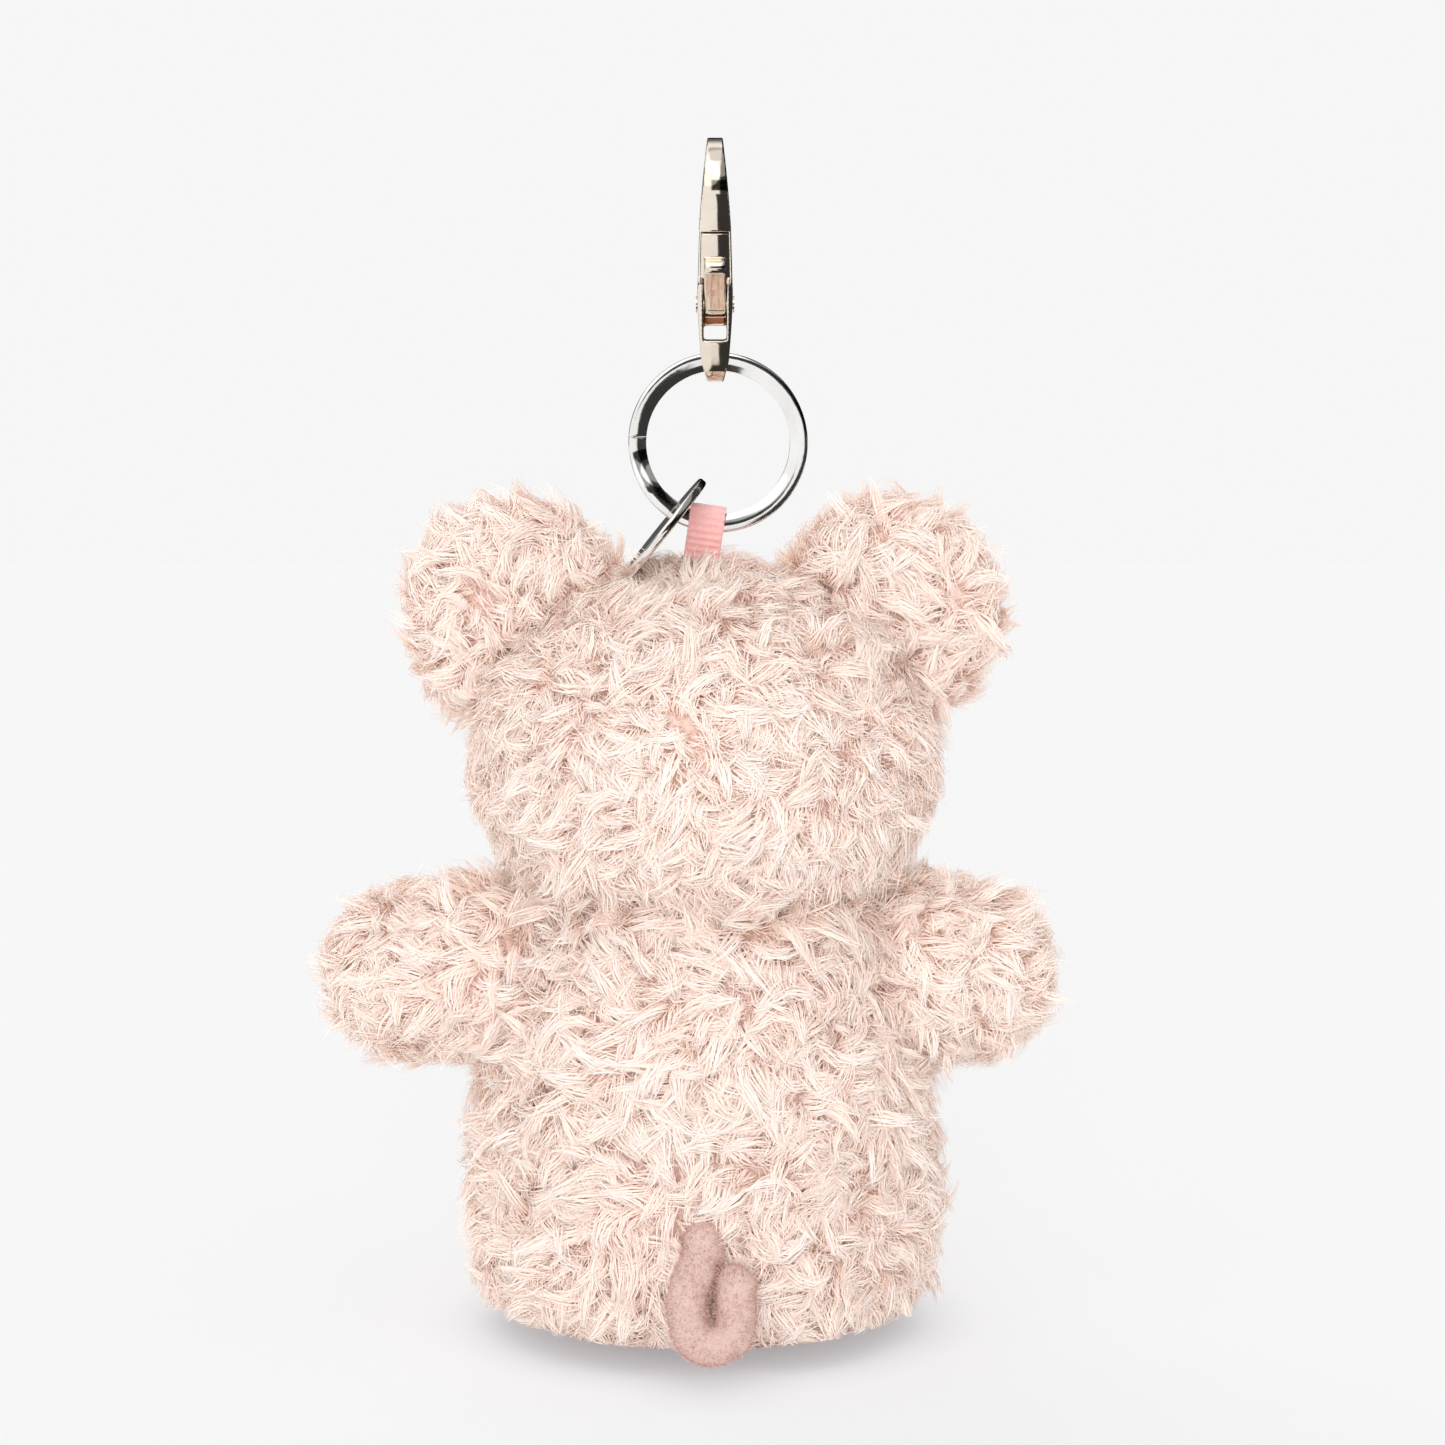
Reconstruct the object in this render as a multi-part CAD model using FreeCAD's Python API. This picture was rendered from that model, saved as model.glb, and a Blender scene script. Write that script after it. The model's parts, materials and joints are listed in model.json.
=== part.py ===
"""Plush pig keychain: a stuffed pig, its ribbon loop, split ring, disc tag and trigger clasp.

Millimetres. +Z is up and the pig faces -Y, so its left side is +X. The origin is the middle of
the flat seat that it stands on. The ring lies in the XZ plane and the clasp in a YZ plane.
"""

import FreeCAD, Part
import math
import os
from FreeCAD import Base

os.makedirs("parts", exist_ok=True)

# ---- driving dimensions: cloth and filling ------------------------------------------------
COVER_WALL = 1.2  # fleece cloth
FILL_GAP = 0.2  # between a cover and its filling
SEAM_GAP = 0.1  # between two pieces sewn to each other
SWING_GAP = 0.3  # round the root of a limb that swings

TORSO_SEAT_RADIUS = 21.0  # the flat that it stands on
TORSO_HEM_RADIUS = 10.5  # outline arcs, from the seat up, each tangent to the next
TORSO_SIDE_RADIUS = 120.0
TORSO_SHOULDER_RADIUS = 10.0
TORSO_HEM_END = -4.0  # degrees above level of the arc's last normal
TORSO_SIDE_END = 20.0

HEAD_JAW_RADIUS = 15.5
HEAD_SIDE_RADIUS = 24.0
HEAD_DOME_RADIUS = 38.0
HEAD_JAW_END = -25.0
HEAD_SIDE_END = 56.0
NECK_SINK = 3.5  # how far the head sits down into the torso

EAR_RADIUS = 15.0
EAR_THICKNESS = 11.0
EAR_OUT = 26.0  # from the middle of the head out to the ear's middle
EAR_DOWN = 6.4  # from the top of the head down to the ear's middle
LINING_RADIUS = 8.5
LINING_THICKNESS = 0.8

ARM_ROOT_RADIUS = 12.5
ARM_TIP_RADIUS = 11.5
ARM_ROOT_OUT = 30.5
ARM_TIP_OUT = 39.0
ARM_UP = 51.0
ARM_DROOP = 0.6  # how much lower the tip's middle is than the shoulder

FOOT_RADIUS = 9.0
FOOT_OUT = 15.0
FOOT_BACK = -20.0
FOOT_FRONT = -42.0
FOOT_TOE_ROUND = 3.0
SOLE_RADIUS = 5.5
SOLE_THICKNESS = 0.8

SNOUT_HALF_WIDTH = 10.5
SNOUT_HALF_HEIGHT = 8.0
SNOUT_REACH = 6.0  # in front of the head
SNOUT_UP = 79.5
SNOUT_ROUND = 2.2
NOSTRIL_OUT = 3.6
NOSTRIL_HALF_WIDTH = 1.2
NOSTRIL_HALF_HEIGHT = 2.1
NOSTRIL_PROUD = 0.5

EYE_OUT = 12.0
EYE_UP = 90.0
EYE_RADIUS = 2.5
SHANK_RADIUS = 0.9
SHANK_LENGTH = 6.0
WASHER_RADIUS = 3.2
WASHER_THICKNESS = 0.8
BEAD_CLEARANCE = 0.1

PELLET_BAG_RADIUS = 17.0
PELLET_BAG_HEIGHT = 14.0
PELLET_BAG_UP = 4.0
PELLET_BAG_ROUND = 4.5

TAIL_RADIUS = 2.6
TAIL_BEND_RADIUS = 3.4
TAIL_ROOT_UP = 19.2
TAIL_ROOT_BALL = 3.4
TAIL_OUT = 4.1  # how far the curl stands out behind the torso
TAIL_FLOOR_GAP = 4.0

# ---- driving dimensions: ribbon, ring and tag ---------------------------------------------
RING_OUTER_RADIUS = 12.5
RING_WIRE_WIDTH = 2.5  # across the flat wire, along the ring's radius
COIL_THICKNESS = 0.9
COIL_GAP = 0.1
RING_SPLIT_ANGLE = 3.0  # where the back coil ends, seen from the front of the XZ plane
RING_CRIMP_END = -38.0  # where the wire has crossed from one coil to the other
RING_CRIMP_START = -5.0

RIBBON_WIDTH = 5.0
RIBBON_THICKNESS = 0.5
RIBBON_CLEARANCE = 0.25  # round the wire, inside the loop
RIBBON_SEAM_X = 0.4
RIBBON_REACH = 5.2  # from its sewn end to the middle of the wire
RIBBON_END_GAP = 0.5  # between the two layers at the sewn end
RIBBON_LEAN = 8.2  # degrees from upright

TAG_RADIUS = 8.8
TAG_THICKNESS = 1.2
TAG_HOLE_EDGE = 0.9  # metal left between the hole and the rim
TAG_ANGLE = -59.0  # place on the ring
TAG_DIP = 0.0  # degrees that the tag points below level
WIRE_CLEARANCE = 0.15  # round the wire, in the tag's hole and the clasp's eye

# ---- driving dimensions: clasp ------------------------------------------------------------
CLASP_ANGLE = 88.0  # place on the ring
CLASP_HEIGHT = 31.7  # from the middle of the eye to the top
CLASP_TOP_RADIUS = 7.6
CLASP_WALL = 2.7  # the hook's bar, in the clasp's plane
CLASP_THICKNESS = 4.9  # at the cheeks
CLASP_TIP_THICKNESS = 2.8  # at the top
CLASP_EYE_THICKNESS = 3.2
EYE_WALL = 1.0
HOOK_FLOOR = 10.8  # above the eye's middle
CHEEK_LEVEL = 8.6  # height at which the cheeks are thickest
CLAW_LEVEL = 18.1  # the claw's end, where the gate closes
SLOT_WIDTH = 3.2
SLOT_BOTTOM = 3.0
SLOT_BACK = -2.2
SLOT_THROUGH_HEIGHT = 1.9
PIVOT_Y = 1.6
PIVOT_UP = 7.9
PIN_RADIUS = 0.7
PIN_HEAD_RADIUS = 1.15
PIN_HEAD_PROUD = 0.2
PIN_RUNNING_CLEARANCE = 0.05
PIN_SEAT_CLEARANCE = 0.01
GATE_WIDTH = 4.2
GATE_SIDE_CLEARANCE = 0.1
GATE_END_CLEARANCE = 0.15
GATE_LUG_RADIUS = 1.8
GATE_BOTTOM = 11.7
THUMB_UP = 13.1
THUMB_REACH = 1.7  # outside the clasp's outline
THUMB_RADIUS = 1.4
SPRING_THICKNESS = 0.25
SPRING_WIDTH = 2.4
SPRING_BOTTOM = 5.2
SPRING_TOP = 9.6
SPRING_CLEARANCE = 0.1

# ---- places that follow from them ---------------------------------------------------------
TORSO_ARCS = [
    (TORSO_HEM_RADIUS, TORSO_HEM_END),
    (TORSO_SIDE_RADIUS, TORSO_SIDE_END),
    (TORSO_SHOULDER_RADIUS, 90.0),
]
HEAD_ARCS = [
    (HEAD_JAW_RADIUS, HEAD_JAW_END),
    (HEAD_SIDE_RADIUS, HEAD_SIDE_END),
    (HEAD_DOME_RADIUS, 90.0),
]
RING_MEAN_RADIUS = RING_OUTER_RADIUS - RING_WIRE_WIDTH / 2
RING_HALF_THICKNESS = COIL_THICKNESS + COIL_GAP / 2
WIRE_HALF_DIAGONAL = math.hypot(RING_WIRE_WIDTH / 2, RING_HALF_THICKNESS)
RIBBON_ANGLE = RIBBON_LEAN - 90.0
RING_X = RIBBON_SEAM_X - (RIBBON_REACH + RING_MEAN_RADIUS) * math.sin(math.radians(RIBBON_LEAN))
RING_RISE = (RIBBON_REACH + RING_MEAN_RADIUS) * math.cos(math.radians(RIBBON_LEAN))
EYE_HOLE_RADIUS = (
    WIRE_HALF_DIAGONAL + CLASP_EYE_THICKNESS**2 / 8 / RING_MEAN_RADIUS + WIRE_CLEARANCE
)
CLASP_EYE_RADIUS = EYE_HOLE_RADIUS + EYE_WALL
RIBBON_ROOT_RADIUS = RIBBON_THICKNESS + RIBBON_END_GAP / 2
TAG_HOLE_RADIUS = WIRE_HALF_DIAGONAL + WIRE_CLEARANCE
TAG_HOLE_OUT = TAG_RADIUS - TAG_HOLE_EDGE - TAG_HOLE_RADIUS

X_AXIS = Base.Vector(1, 0, 0)
Y_AXIS = Base.Vector(0, 1, 0)
Z_AXIS = Base.Vector(0, 0, 1)
ORIGIN = Base.Vector(0, 0, 0)
SIDES = {"left": 1, "right": -1}
BIG = 200.0  # longer than the whole part


# ---- helpers ------------------------------------------------------------------------------
def box(low, high):
    """A block between two corners."""
    size = Base.Vector(*high) - Base.Vector(*low)
    return Part.makeBox(size.x, size.y, size.z, Base.Vector(*low))


def outline(flat_radius, floor, arcs):
    """The arcs of a turned form, from its flat base up: middle, radius, first and last angle."""
    out = flat_radius
    up = floor + arcs[0][0]
    start = -90.0
    stretches = []
    for n, (radius, end) in enumerate(arcs):
        stretches.append((out, up, radius, start, end))
        if n + 1 < len(arcs):
            step = radius - arcs[n + 1][0]
            out += step * math.cos(math.radians(end))
            up += step * math.sin(math.radians(end))
            start = end
    return stretches


def outline_top(stretches):
    """How high a turned form is."""
    out, up, radius, start, end = stretches[-1]
    return up + radius


def outline_radius(stretches, z):
    """How far a turned form's side is from its axis, at a height."""
    for out, up, radius, start, end in stretches:
        if z <= up + radius * math.sin(math.radians(end)):
            break
    return out + math.sqrt(radius**2 - (z - up) ** 2)


def turned_form(stretches, inset):
    """A stuffed form: the outline's arcs turned about Z, smaller by an inset on every side."""
    edges = []
    first = None
    for out, up, radius, start, end in stretches:
        points = []
        for angle in (start, (start + end) / 2, end):
            turn = math.radians(angle)
            reach = radius - inset
            points.append(
                Base.Vector(max(out + reach * math.cos(turn), 0), 0, up + reach * math.sin(turn))
            )
        edges.append(Part.Arc(*points).toShape())
        first = first or points[0]
        last = points[-1]
    base = Base.Vector(0, 0, first.z)
    top = Base.Vector(0, 0, last.z)
    if last.x > 1e-6:
        edges.append(Part.LineSegment(last, top).toShape())
    edges.append(Part.LineSegment(top, base).toShape())
    edges.append(Part.LineSegment(base, first).toShape())
    return Part.Face(Part.Wire(edges)).revolve(ORIGIN, Z_AXIS, 360)


def moved(shape, x=0.0, y=0.0, z=0.0):
    """A copy of the shape, moved."""
    copy = shape.copy()
    copy.translate(Base.Vector(x, y, z))
    return copy


def turned(shape, centre, axis, degrees):
    """A copy of the shape, turned about an axis through a point."""
    copy = shape.copy()
    copy.rotate(centre, axis, degrees)
    return copy


def one_solid(shape):
    """The largest solid of a shape, with its split faces joined again."""
    solid = max(shape.Solids, key=lambda s: s.Volume)
    return solid.removeSplitter()


def save(name, *solids):
    """Writes one node's solids."""
    shape = solids[0] if len(solids) == 1 else Part.makeCompound(list(solids))
    for solid in shape.Solids:
        if not solid.isValid():
            print("not valid:", name)
    shape.exportStep(f"parts/{name}.step")


TORSO_OUTLINE = outline(TORSO_SEAT_RADIUS, 0, TORSO_ARCS)
HEAD_BASE_RADIUS = (HEAD_SIDE_RADIUS - HEAD_JAW_RADIUS) * math.cos(math.radians(HEAD_JAW_END)) + (
    HEAD_DOME_RADIUS - HEAD_SIDE_RADIUS
) * math.cos(math.radians(HEAD_SIDE_END))
HEAD_OUTLINE = outline(HEAD_BASE_RADIUS, outline_top(TORSO_OUTLINE) - NECK_SINK, HEAD_ARCS)
HEAD_TOP = outline_top(HEAD_OUTLINE)
RING_CENTRE = Base.Vector(RING_X, 0, HEAD_TOP + RIBBON_ROOT_RADIUS + SWING_GAP + RING_RISE)


def on_ring(angle, radius=RING_MEAN_RADIUS):
    """The point of the ring at an angle from +X towards +Z."""
    turn = math.radians(angle)
    return RING_CENTRE + Base.Vector(math.cos(turn), 0, math.sin(turn)) * radius


# ---- the stuffed body ---------------------------------------------------------------------
def torso_form(inset):
    """The torso, smaller by an inset on every side."""
    return turned_form(TORSO_OUTLINE, inset)


def head_form(inset):
    """The head, smaller by an inset on every side."""
    return turned_form(HEAD_OUTLINE, inset)


def head_face_y(x, z):
    """Where the front of the head is, beside its middle and at a height."""
    return -math.sqrt(outline_radius(HEAD_OUTLINE, z) ** 2 - x**2)


def shoulder(side):
    """The middle of an arm's round root, which it swings about."""
    return Base.Vector(side * ARM_ROOT_OUT, 0, ARM_UP)


def arm_form(side, inset):
    """A stubby arm: two balls and the cone that joins them."""
    root = shoulder(side)
    tip = Base.Vector(side * ARM_TIP_OUT, 0, root.z - ARM_DROOP)
    along = tip - root
    big = ARM_ROOT_RADIUS - inset
    small = ARM_TIP_RADIUS - inset
    lean = math.asin((big - small) / along.Length)
    direction = Base.Vector(along).normalize()
    start = root + direction * big * math.sin(lean)
    length = along.Length - (big - small) * math.sin(lean)
    cone = Part.makeCone(
        big * math.cos(lean), small * math.cos(lean), length, start, direction
    )
    ball = Part.makeSphere(big, root)
    return ball.fuse([Part.makeSphere(small, tip), cone])


def foot_form(side):
    """A foot: a round bar that points forward, with a rounded toe."""
    middle = Base.Vector(side * FOOT_OUT, FOOT_BACK, FOOT_RADIUS)
    bar = Part.makeCylinder(FOOT_RADIUS, FOOT_BACK - FOOT_FRONT, middle, -Y_AXIS)
    toe = [edge for edge in bar.Edges if edge.CenterOfMass.y < FOOT_FRONT + 0.1]
    return bar.makeFillet(FOOT_TOE_ROUND, toe)


def ear_place(side):
    """The middle of an ear."""
    return Base.Vector(side * EAR_OUT, 0, HEAD_TOP - EAR_DOWN)


def ear_form(side):
    """An ear: a flat round pad with a full rim, at the head's upper corner."""
    start = ear_place(side) + Y_AXIS * (EAR_THICKNESS / 2)
    pad = Part.makeCylinder(EAR_RADIUS, EAR_THICKNESS, start, -Y_AXIS)
    rims = [edge for edge in pad.Edges if edge.isClosed() and len(edge.Vertexes) == 1]
    return pad.makeFillet(EAR_THICKNESS * 0.49, rims)


def eye_place(side):
    """Where an eye's bead sits on the head."""
    return Base.Vector(side * EYE_OUT, head_face_y(EYE_OUT, EYE_UP), EYE_UP)


def eye_form(side, grown=0.0):
    """An eye: a round bead and the shank behind it."""
    place = eye_place(side)
    bead = Part.makeSphere(EYE_RADIUS + grown, place)
    shank = Part.makeCylinder(SHANK_RADIUS + grown, SHANK_LENGTH + grown, place, Y_AXIS)
    return bead.fuse(shank)


def washer_form(side, grown=0.0):
    """The washer that locks an eye's shank inside the head."""
    place = eye_place(side)
    back = place.y + SHANK_LENGTH - WASHER_THICKNESS - grown
    thickness = WASHER_THICKNESS + 2 * grown
    start = Base.Vector(place.x, back, place.z)
    return Part.makeCylinder(WASHER_RADIUS + grown, thickness, start, Y_AXIS)


def ribbon_root():
    """The middle of the ribbon's sewn end, which the loop swings about."""
    return Base.Vector(RIBBON_SEAM_X, 0, HEAD_TOP + RIBBON_ROOT_RADIUS + SWING_GAP)


def ring_tangent(angle):
    """The direction of the ring's wire at an angle."""
    turn = math.radians(angle)
    return Base.Vector(-math.sin(turn), 0, math.cos(turn))


def tail_root():
    """The middle of the tail's round root, at the back of the torso."""
    back = outline_radius(TORSO_OUTLINE, TAIL_ROOT_UP) + TAIL_ROOT_BALL / 2
    return Base.Vector(0, back, TAIL_ROOT_UP)


def make_torso():
    """The torso's cover, its filling and the bag of pellets in its seat."""
    head = head_form(-SEAM_GAP)
    sockets = []
    for side in SIDES.values():
        sockets.append(Part.makeSphere(ARM_ROOT_RADIUS + SWING_GAP, shoulder(side)))
    sockets.append(Part.makeSphere(TAIL_ROOT_BALL + SWING_GAP, tail_root()))
    cover = torso_form(0).cut([head] + sockets)
    save("torso_cover", one_solid(cover.cut(torso_form(COVER_WALL))))

    bag = Part.makeCylinder(PELLET_BAG_RADIUS, PELLET_BAG_HEIGHT, Base.Vector(0, 0, PELLET_BAG_UP))
    rims = [edge for edge in bag.Edges if edge.isClosed()]
    bag = bag.makeFillet(PELLET_BAG_ROUND, rims)
    space = Part.makeCylinder(
        PELLET_BAG_RADIUS + FILL_GAP,
        PELLET_BAG_HEIGHT + 2 * FILL_GAP,
        Base.Vector(0, 0, PELLET_BAG_UP - FILL_GAP),
    )
    save("pellet_bag", bag)
    filling = torso_form(COVER_WALL + FILL_GAP)
    save("torso_filling", one_solid(filling.cut([head, space] + sockets)))


def make_head():
    """The head's cover and filling, with the holes for the eyes."""
    holes = []
    for side in SIDES.values():
        holes.append(eye_form(side, BEAD_CLEARANCE))
        holes.append(washer_form(side, BEAD_CLEARANCE))
    cover = head_form(0).cut(holes)
    save("head_cover", one_solid(cover.cut(head_form(COVER_WALL))))
    save("head_filling", one_solid(head_form(COVER_WALL + FILL_GAP).cut(holes)))


def oval(half_width, half_height, y_back, y_front, x, z):
    """A bar of oval section that runs forward from one depth to another."""
    long_way = Base.Vector(0, 0, 1) if half_height > half_width else Base.Vector(1, 0, 0)
    long_half = max(half_width, half_height)
    short_half = min(half_width, half_height)
    short_way = X_AXIS if long_way.z else Z_AXIS
    middle = Base.Vector(x, y_back, z)
    ellipse = Part.Ellipse(middle + long_way * long_half, middle + short_way * short_half, middle)
    face = Part.Face(Part.Wire([ellipse.toShape()]))
    return face.extrude(-Y_AXIS * (y_back - y_front))


def make_face():
    """The snout with its stitched nostrils, and the eyes with their washers."""
    front = head_face_y(0, SNOUT_UP) - SNOUT_REACH
    back = head_face_y(SNOUT_HALF_WIDTH, SNOUT_UP + SNOUT_HALF_HEIGHT) + SNOUT_REACH
    pad = oval(SNOUT_HALF_WIDTH, SNOUT_HALF_HEIGHT, back, front, 0, SNOUT_UP)
    rim = [edge for edge in pad.Edges if edge.BoundBox.YMax < front + 0.1]
    pad = pad.makeFillet(SNOUT_ROUND, rim)
    save("snout", one_solid(pad.cut(head_form(-SEAM_GAP))))
    for name, side in SIDES.items():
        patch = oval(
            NOSTRIL_HALF_WIDTH,
            NOSTRIL_HALF_HEIGHT,
            front - SEAM_GAP,
            front - SEAM_GAP - NOSTRIL_PROUD,
            side * NOSTRIL_OUT,
            SNOUT_UP,
        )
        save(f"{name}_nostril", patch)
        hole = Part.makeCylinder(
            SHANK_RADIUS + BEAD_CLEARANCE, SHANK_LENGTH * 2, eye_place(side), Y_AXIS
        )
        save(f"{name}_eye", one_solid(eye_form(side)))
        save(f"{name}_eye_washer", washer_form(side).cut(hole))


def make_ears():
    """The ears and the smooth linings on their fronts."""
    head = head_form(-SEAM_GAP)
    for name, side in SIDES.items():
        save(f"{name}_ear", one_solid(ear_form(side).cut(head)))
        start = ear_place(side) - Y_AXIS * (EAR_THICKNESS / 2 + SEAM_GAP)
        lining = Part.makeCylinder(LINING_RADIUS, LINING_THICKNESS, start, -Y_AXIS)
        save(f"{name}_ear_lining", one_solid(lining.cut(head)))


def make_limbs():
    """The arms, which swing at the shoulders, and the feet with their smooth soles."""
    torso = torso_form(-SEAM_GAP)
    for name, side in SIDES.items():
        save(f"{name}_arm_cover", arm_form(side, 0).cut(arm_form(side, COVER_WALL)))
        save(f"{name}_arm_filling", arm_form(side, COVER_WALL + FILL_GAP).removeSplitter())
        save(f"{name}_foot", one_solid(foot_form(side).cut(torso)))
        start = Base.Vector(side * FOOT_OUT, FOOT_FRONT - SEAM_GAP, FOOT_RADIUS)
        save(f"{name}_foot_sole", Part.makeCylinder(SOLE_RADIUS, SOLE_THICKNESS, start, -Y_AXIS))


def make_tail():
    """The tail: a soft tube that runs down, turns above the floor and curls back up."""
    root = tail_root()
    low = TAIL_RADIUS + TAIL_FLOOR_GAP
    far = root.y + TAIL_OUT
    route = [
        root,
        Base.Vector(2.3, far - 0.8, 12.5),
        Base.Vector(1.8, far, low),
        Base.Vector(-4.2, far, low),
        Base.Vector(-4.5, far - 1.6, 14.4),
    ]
    edges = []
    start = route[0]
    for n in range(1, len(route) - 1):
        before = (route[n - 1] - route[n]).normalize()
        after = (route[n + 1] - route[n]).normalize()
        half = before.getAngle(after) / 2
        back = min(
            TAIL_BEND_RADIUS / math.tan(half),
            0.45 * (route[n - 1] - route[n]).Length,
            0.45 * (route[n + 1] - route[n]).Length,
        )
        bisector = (before + after).normalize()
        radius = back * math.tan(half)
        middle = route[n] + bisector * (radius / math.sin(half) - radius)
        leave = route[n] + before * back
        meet = route[n] + after * back
        edges.append(Part.LineSegment(start, leave).toShape())
        edges.append(Part.Arc(leave, middle, meet).toShape())
        start = meet
    edges.append(Part.LineSegment(start, route[-1]).toShape())
    path = Part.Wire(edges)
    circle = Part.Circle(route[0], route[1] - route[0], TAIL_RADIUS).toShape()
    tube = path.makePipeShell([Part.Wire([circle])], True, False)
    ends = [Part.makeSphere(TAIL_ROOT_BALL, root), Part.makeSphere(TAIL_RADIUS, route[-1])]
    save("tail", one_solid(tube.fuse(ends)))


# ---- ribbon, ring and tag -----------------------------------------------------------------
def make_ribbon():
    """The ribbon: a flat band from the head's seam, round the ring's wire and back."""
    half = RING_HALF_THICKNESS + RIBBON_CLEARANCE
    bow = RIBBON_WIDTH**2 / 8 / (RING_OUTER_RADIUS - RING_WIRE_WIDTH)
    top = RIBBON_REACH + RING_WIRE_WIDTH / 2 + RIBBON_CLEARANCE + bow
    rise = RIBBON_REACH - RING_WIRE_WIDTH / 2 - RIBBON_CLEARANCE
    outer = half + RIBBON_THICKNESS
    hole = Part.makePolygon(
        [
            Base.Vector(0, 0, 1.0),
            Base.Vector(0, half, rise),
            Base.Vector(0, half, top),
            Base.Vector(0, -half, top),
            Base.Vector(0, -half, rise),
            Base.Vector(0, 0, 1.0),
        ]
    )
    band = Part.makePolygon(
        [
            Base.Vector(0, RIBBON_ROOT_RADIUS, 0),
            Base.Vector(0, outer, rise),
            Base.Vector(0, outer, top + RIBBON_THICKNESS),
            Base.Vector(0, -outer, top + RIBBON_THICKNESS),
            Base.Vector(0, -outer, rise),
            Base.Vector(0, -RIBBON_ROOT_RADIUS, 0),
            Base.Vector(0, RIBBON_ROOT_RADIUS, 0),
        ]
    )
    run = X_AXIS * RIBBON_WIDTH
    solid = Part.Face(band).extrude(run)
    corners = []
    for edge in solid.Edges:
        middle = edge.CenterOfMass
        if abs(middle.z - top - RIBBON_THICKNESS) < 0.01 and abs(abs(middle.y) - outer) < 0.01:
            corners.append(edge)
    solid = solid.makeFillet(RIBBON_THICKNESS, corners)
    root = Part.makeCylinder(RIBBON_ROOT_RADIUS, RIBBON_WIDTH, ORIGIN, X_AXIS)
    solid = solid.fuse(root).cut(Part.Face(hole).extrude(run))
    solid = moved(solid, x=-RIBBON_WIDTH / 2)
    solid = turned(solid, ORIGIN, Y_AXIS, -RIBBON_LEAN)
    place = ribbon_root()
    save("ribbon_loop", one_solid(moved(solid, place.x, 0, place.z)))


def wire_section(angle, y):
    """The outline of one coil's flat wire at an angle, with its middle at a depth."""
    inner = on_ring(angle, RING_OUTER_RADIUS - RING_WIRE_WIDTH)
    outer = on_ring(angle, RING_OUTER_RADIUS)
    half = Y_AXIS * (COIL_THICKNESS / 2)
    depth = Y_AXIS * y
    corners = [inner - half, outer - half, outer + half, inner + half, inner - half]
    return Part.makePolygon([corner + depth for corner in corners])


def coil(start, end, y):
    """A stretch of flat wire that goes round from one angle to another."""
    face = Part.Face(wire_section(start, y))
    return face.revolve(RING_CENTRE, -Y_AXIS, end - start)


def make_ring():
    """The split ring: two coils of flat wire, and the crimp where one becomes the other."""
    lift = (COIL_THICKNESS + COIL_GAP) / 2
    front = coil(RING_SPLIT_ANGLE - 360, RING_CRIMP_END, lift)
    back = coil(RING_CRIMP_START, RING_CRIMP_END + 360 - 4.0, -lift)
    steps = 6
    sections = []
    for n in range(steps + 1):
        share = n / steps
        angle = RING_CRIMP_START + (RING_CRIMP_END - RING_CRIMP_START) * share
        ease = share * share * (3 - 2 * share)
        sections.append(wire_section(angle, lift * (2 * ease - 1)))
    crimp = Part.makeLoft(sections, True, True)
    save("key_ring", one_solid(front.fuse([back, crimp])))


def make_tag():
    """The disc tag: it hangs by a hole near its rim, and lies in a plane across the wire."""
    disc = Part.makeCylinder(TAG_RADIUS, TAG_THICKNESS, Base.Vector(0, 0, -TAG_THICKNESS / 2))
    disc = disc.makeFillet(TAG_THICKNESS / 4, disc.Edges)
    disc = moved(disc, x=TAG_HOLE_OUT)
    hole = Part.makeCylinder(TAG_HOLE_RADIUS, TAG_THICKNESS * 2, -Z_AXIS * TAG_THICKNESS)
    disc = disc.cut(hole)
    tangent = ring_tangent(TAG_ANGLE)
    outward = (on_ring(TAG_ANGLE) - RING_CENTRE).normalize()
    dip = math.radians(TAG_DIP)
    reach = Y_AXIS * math.cos(dip) + outward * math.sin(dip)
    across = tangent.cross(reach)
    place = on_ring(TAG_ANGLE)
    matrix = Base.Matrix(
        reach.x, across.x, tangent.x, place.x,
        reach.y, across.y, tangent.y, place.y,
        reach.z, across.z, tangent.z, place.z,
        0, 0, 0, 1,
    )  # fmt: skip
    save("disc_tag", disc.transformShape(matrix, True))


# ---- clasp, drawn with its eye's middle at the origin -------------------------------------
def teardrop(low_z, low_radius, high_z, high_radius, thickness):
    """The flat form round two circles, one above the other, and its tangent lines."""
    lean = math.asin((high_radius - low_radius) / (high_z - low_z))
    out = Base.Vector(0, math.cos(lean), -math.sin(lean))
    mirror = Base.Vector(0, -out.y, out.z)
    low = Base.Vector(0, 0, low_z)
    high = Base.Vector(0, 0, high_z)
    right_low = low + out * low_radius
    right_high = high + out * high_radius
    left_low = low + mirror * low_radius
    left_high = high + mirror * high_radius
    edges = [
        Part.LineSegment(right_low, right_high),
        Part.Arc(right_high, high + Z_AXIS * high_radius, left_high),
        Part.LineSegment(left_high, left_low),
        Part.Arc(left_low, low - Z_AXIS * low_radius, right_low),
    ]
    face = Part.Face(Part.Wire([edge.toShape() for edge in edges]))
    return moved(face.extrude(X_AXIS * thickness), x=-thickness / 2)


def clasp_outside(thickness):
    """The clasp's outer outline as a plate."""
    high = CLASP_HEIGHT - CLASP_TOP_RADIUS
    return teardrop(0, CLASP_EYE_RADIUS, high, CLASP_TOP_RADIUS, thickness)


def clasp_opening(thickness):
    """The space inside the hook as a plate."""
    high = CLASP_HEIGHT - CLASP_TOP_RADIUS
    radius = CLASP_TOP_RADIUS - CLASP_WALL
    low_radius = radius * 0.42
    return teardrop(HOOK_FLOOR + low_radius, low_radius, high, radius, thickness)


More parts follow.
